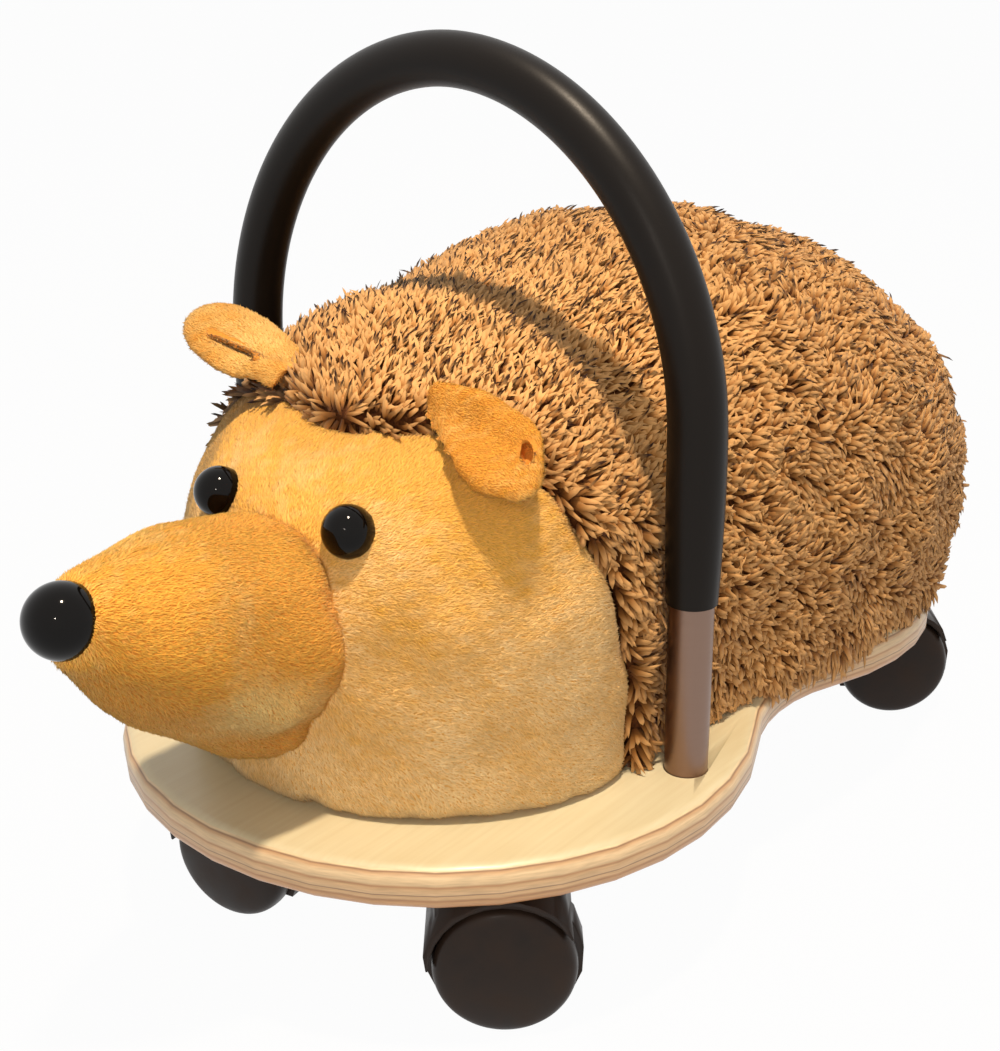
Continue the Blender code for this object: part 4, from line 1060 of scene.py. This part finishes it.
def grow_fur():
    """Long locks over the body, groomed backwards in swirls, and tufted round the face.

    crown, top, skirt, seam, temple and brow say how far, from 0 to 1, a root belongs to each of
    those places: the front of the back, all that faces up, the foot, the edge of the face, and the
    edge beside and above it, where the hair falls forwards.
    """
    roots, normals, rng = scatter(BODY, FUR_SPACING, seed=3)
    is_open = open_roots(roots, normals, [FACE, *EARS.values()], 3 * MM)
    temple_roots, temple_normals = roots_on_temple()
    roots = np.concatenate([roots[is_open], temple_roots])
    normals = np.concatenate([normals[is_open], temple_normals])
    crown = np.clip((normals[:, 2] - 0.35) / 0.4, 0, 1) * np.clip((0.07 - roots[:, 1]) / 0.08, 0, 1)
    kept = rng.random(len(roots)) > 0.2 * (1 - crown)
    roots, normals, crown = roots[kept], normals[kept], crown[kept]
    count = len(roots)
    low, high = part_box("body")
    up = (roots[:, 2] - low.z) / (high.z - low.z)
    top = np.clip((normals[:, 2] - 0.1) / 0.6, 0, 1)
    skirt = np.clip(1 - (roots[:, 2] - PLUSH_FOOT) / SKIRT_DEPTH, 0, 1)
    seam = np.clip(1 - np.abs(height_over(FACE, roots)) / (15 * MM), 0, 1)
    temple = seam * np.clip((-roots[:, 0] - 35 * MM) / (30 * MM), 0, 1) * np.clip((up - 0.6) / 0.15, 0, 1)
    brow = seam * crown
    forwards = -2.4 * np.maximum(brow, temple)
    lay = np.stack([np.zeros(count), 1 + forwards, -0.9 * (1 - up)], axis=1)
    flow = along_skin(lay, normals)
    swirl = 0.6 * ripple(roots, 75 * MM, 11) + 0.5 * ripple(roots, 26 * MM, 12)
    swirl += 0.25 * ripple(roots, 9 * MM, 14)
    flow = turned_on_skin(flow, normals, swirl * (1 - 0.5 * crown) + rng.normal(0, 0.22, count))
    rise = 0.5 + 0.12 * crown + 0.12 * seam - 0.3 * brow - 0.15 * temple + 0.1 * ripple(roots, 30 * MM, 13)
    rise += rng.normal(0, 0.06, count)
    tips = np.maximum(crown, 0.6 * top)
    number = 1 - rng.random(count) * (1 - DARK_TIP_SHARE * (1 - tips))
    is_tipped = number < DARK_TIP_SHARE
    length = (7.6 + 2.2 * seam + 0.6 * crown + 3 * skirt - 2.2 * temple + rng.normal(0, 1.4, count)) * MM
    length *= np.where(is_tipped, 1.2, 1)
    width = (2.6 + 0.35 * seam - 0.65 * crown + rng.normal(0, 0.42, count)) * MM
    width *= np.where(is_tipped, 0.7, 1)
    curl = rng.normal(0, 0.3, count)
    bow = np.clip(0.34 - 0.2 * crown - 0.12 * seam + 0.2 * brow + rng.normal(0, 0.08, count), 0, 0.6)
    pull = towards_tufts(roots, normals, 0.42 - 0.3 * crown + 0.1 * seam, rng)
    pull[:, 2] -= 4 * MM * skirt
    # Painted shade: the dark second tone is laid on the fur's sides and at the edge of the face, less where
    # it faces up and least on the crown.
    painted_shade = np.clip(0.45 + 0.1 * up - 0.1 * top - 0.45 * crown + 0.15 * seam * (1 - crown), 0, 1)
    own = np.stack([number, painted_shade], axis=1)
    softness = 0.46 + 0.34 * crown
    stations = np.searchsorted([-20 * MM, 110 * MM], roots[:, 1])
    for station, place in enumerate(("shoulder", "flank", "rump")):
        for side, chosen in (("left", roots[:, 0] > 0), ("right", roots[:, 0] <= 0)):
            here = (stations == station) & chosen
            pile = plant(
                f"fur_{place}_{side}", LONG_LOCK, softness[here], roots[here], normals[here], flow[here],
                rise[here], length[here], width[here], curl[here], bow[here], pull[here], own[here],
            )
            finish_piece(pile, FUR_YARN, "root", SLOT_OF_NODE["body"])


# %% Grow the short pile
NAP_SOFTNESS = 0.42
MOST_TRIANGLES = 190_000


def grow_nap(name, skin, neighbours, spacing, towards, yarn, slot, seed, pale_light_and_wear, longest=2.4 * MM):
    """Short yarn whose nap is stroked one way over a skin. The share of the pale tone is given by a function
    of the roots: painted light on the lower face, a rubbed cheek on the snout and a paler right ear.

    Yarn that faces down is darker, as painted shade, and a nap of too many triangles is parted into
    two halves.
    """
    roots, normals, rng = scatter(skin, spacing, seed)
    is_open = open_roots(roots, normals, neighbours, 1.5 * MM)
    for start, end, reach in HOLLOWS:
        is_open &= fading(roots, start, end, reach) == 0
    roots, normals = roots[is_open], normals[is_open]
    count = len(roots)
    flow = along_skin(towards(roots), normals)
    turn = 0.35 * ripple(roots, 45 * MM, seed + 1) + rng.normal(0, 0.3, count)
    flow = turned_on_skin(flow, normals, turn)
    rise = 0.27 + rng.normal(0, 0.05, count)
    length = longest * (1 + rng.normal(0, 0.2, count))
    width = (0.62 + rng.normal(0, 0.1, count)) * MM
    curl = rng.normal(0, 0.1, count)
    bow = np.full(count, 0.1)
    pale = pale_light_and_wear(roots) + 0.2 * ripple(roots, 50 * MM, seed + 2) + 0.15 * ripple(roots, 7 * MM, seed + 3)
    pale = np.clip(pale, 0, 1)
    # Painted shade: yarn that faces down is given a darker value.
    painted_underside_shade = np.clip(-2 * normals[:, 2], 0, 1)
    number = np.clip(0.5 + 0.7 * (rng.random(count) - 0.5) - 0.5 * painted_underside_shade, 0, 1)
    own = np.stack([number, pale], axis=1)
    halves = (("", np.ones(count, bool)),)
    if count * len(SHORT_LOCK[1]) > MOST_TRIANGLES:
        halves = (("_left", roots[:, 0] > 0), ("_right", roots[:, 0] <= 0))
    for half, here in halves:
        nap = plant(
            name + half, SHORT_LOCK, NAP_SOFTNESS, roots[here], normals[here], flow[here], rise[here],
            length[here], width[here], curl[here], bow[here], np.zeros((int(here.sum()), 3)), own[here],
        )
        finish_piece(nap, yarn, "root", slot)


NOSE_MIDDLE = np.array(middle_of("nose_button"))


def away_from_nose(roots):
    return roots - NOSE_MIDDLE


def towards_ear_tips(roots):
    return np.stack([roots[:, 0], np.zeros(len(roots)), np.zeros(len(roots))], axis=1)


for skin, node, cloth in (
    (FACE, "head", FACE_BACKING), (SNOUT, "snout", SNOUT_BACKING), (BODY, "body", FUR_BACKING_PAINTED_SHADE),
    (EARS["left"], "ear_left", SNOUT_BACKING), (EARS["right"], "ear_right", SNOUT_BACKING),
):
    finish_piece(skin, cloth, "root", SLOT_OF_NODE[node], node)
grow_fur()


def painted_light_low_face(roots):
    """Painted light: the face's yarn turns paler towards the bottom, lighting the lower face more than the
    lamps do.
    """
    return 0.85 - 6 * (roots[:, 2] - PLUSH_FOOT)


def faded_snout(roots):
    """The right-hand cheek of the snout is rubbed pale."""
    return 0.8 * fading(roots, (38, -203, 155), (39, -182, 146), 26)


def faded_ears(roots):
    """The right ear is paler than the left one."""
    return np.where(roots[:, 0] < 0, 0.45, 0.0)


grow_nap(
    "face_nap", FACE, [SNOUT, BODY, *EARS.values()], 0.66 * MM, away_from_nose, FACE_YARN,
    SLOT_OF_NODE["head"], 21, painted_light_low_face)
grow_nap(
    "snout_nap", SNOUT, [FACE], 0.66 * MM, away_from_nose, SNOUT_YARN,
    SLOT_OF_NODE["snout"], 31, faded_snout)
for side, seed in (("left", 41), ("right", 51)):
    grow_nap(
        "ear_nap_" + side, EARS[side], [FACE, BODY], 0.6 * MM, towards_ear_tips, EAR_YARN,
        SLOT_OF_NODE["ear_left"], seed, faded_ears, longest=1.8 * MM)
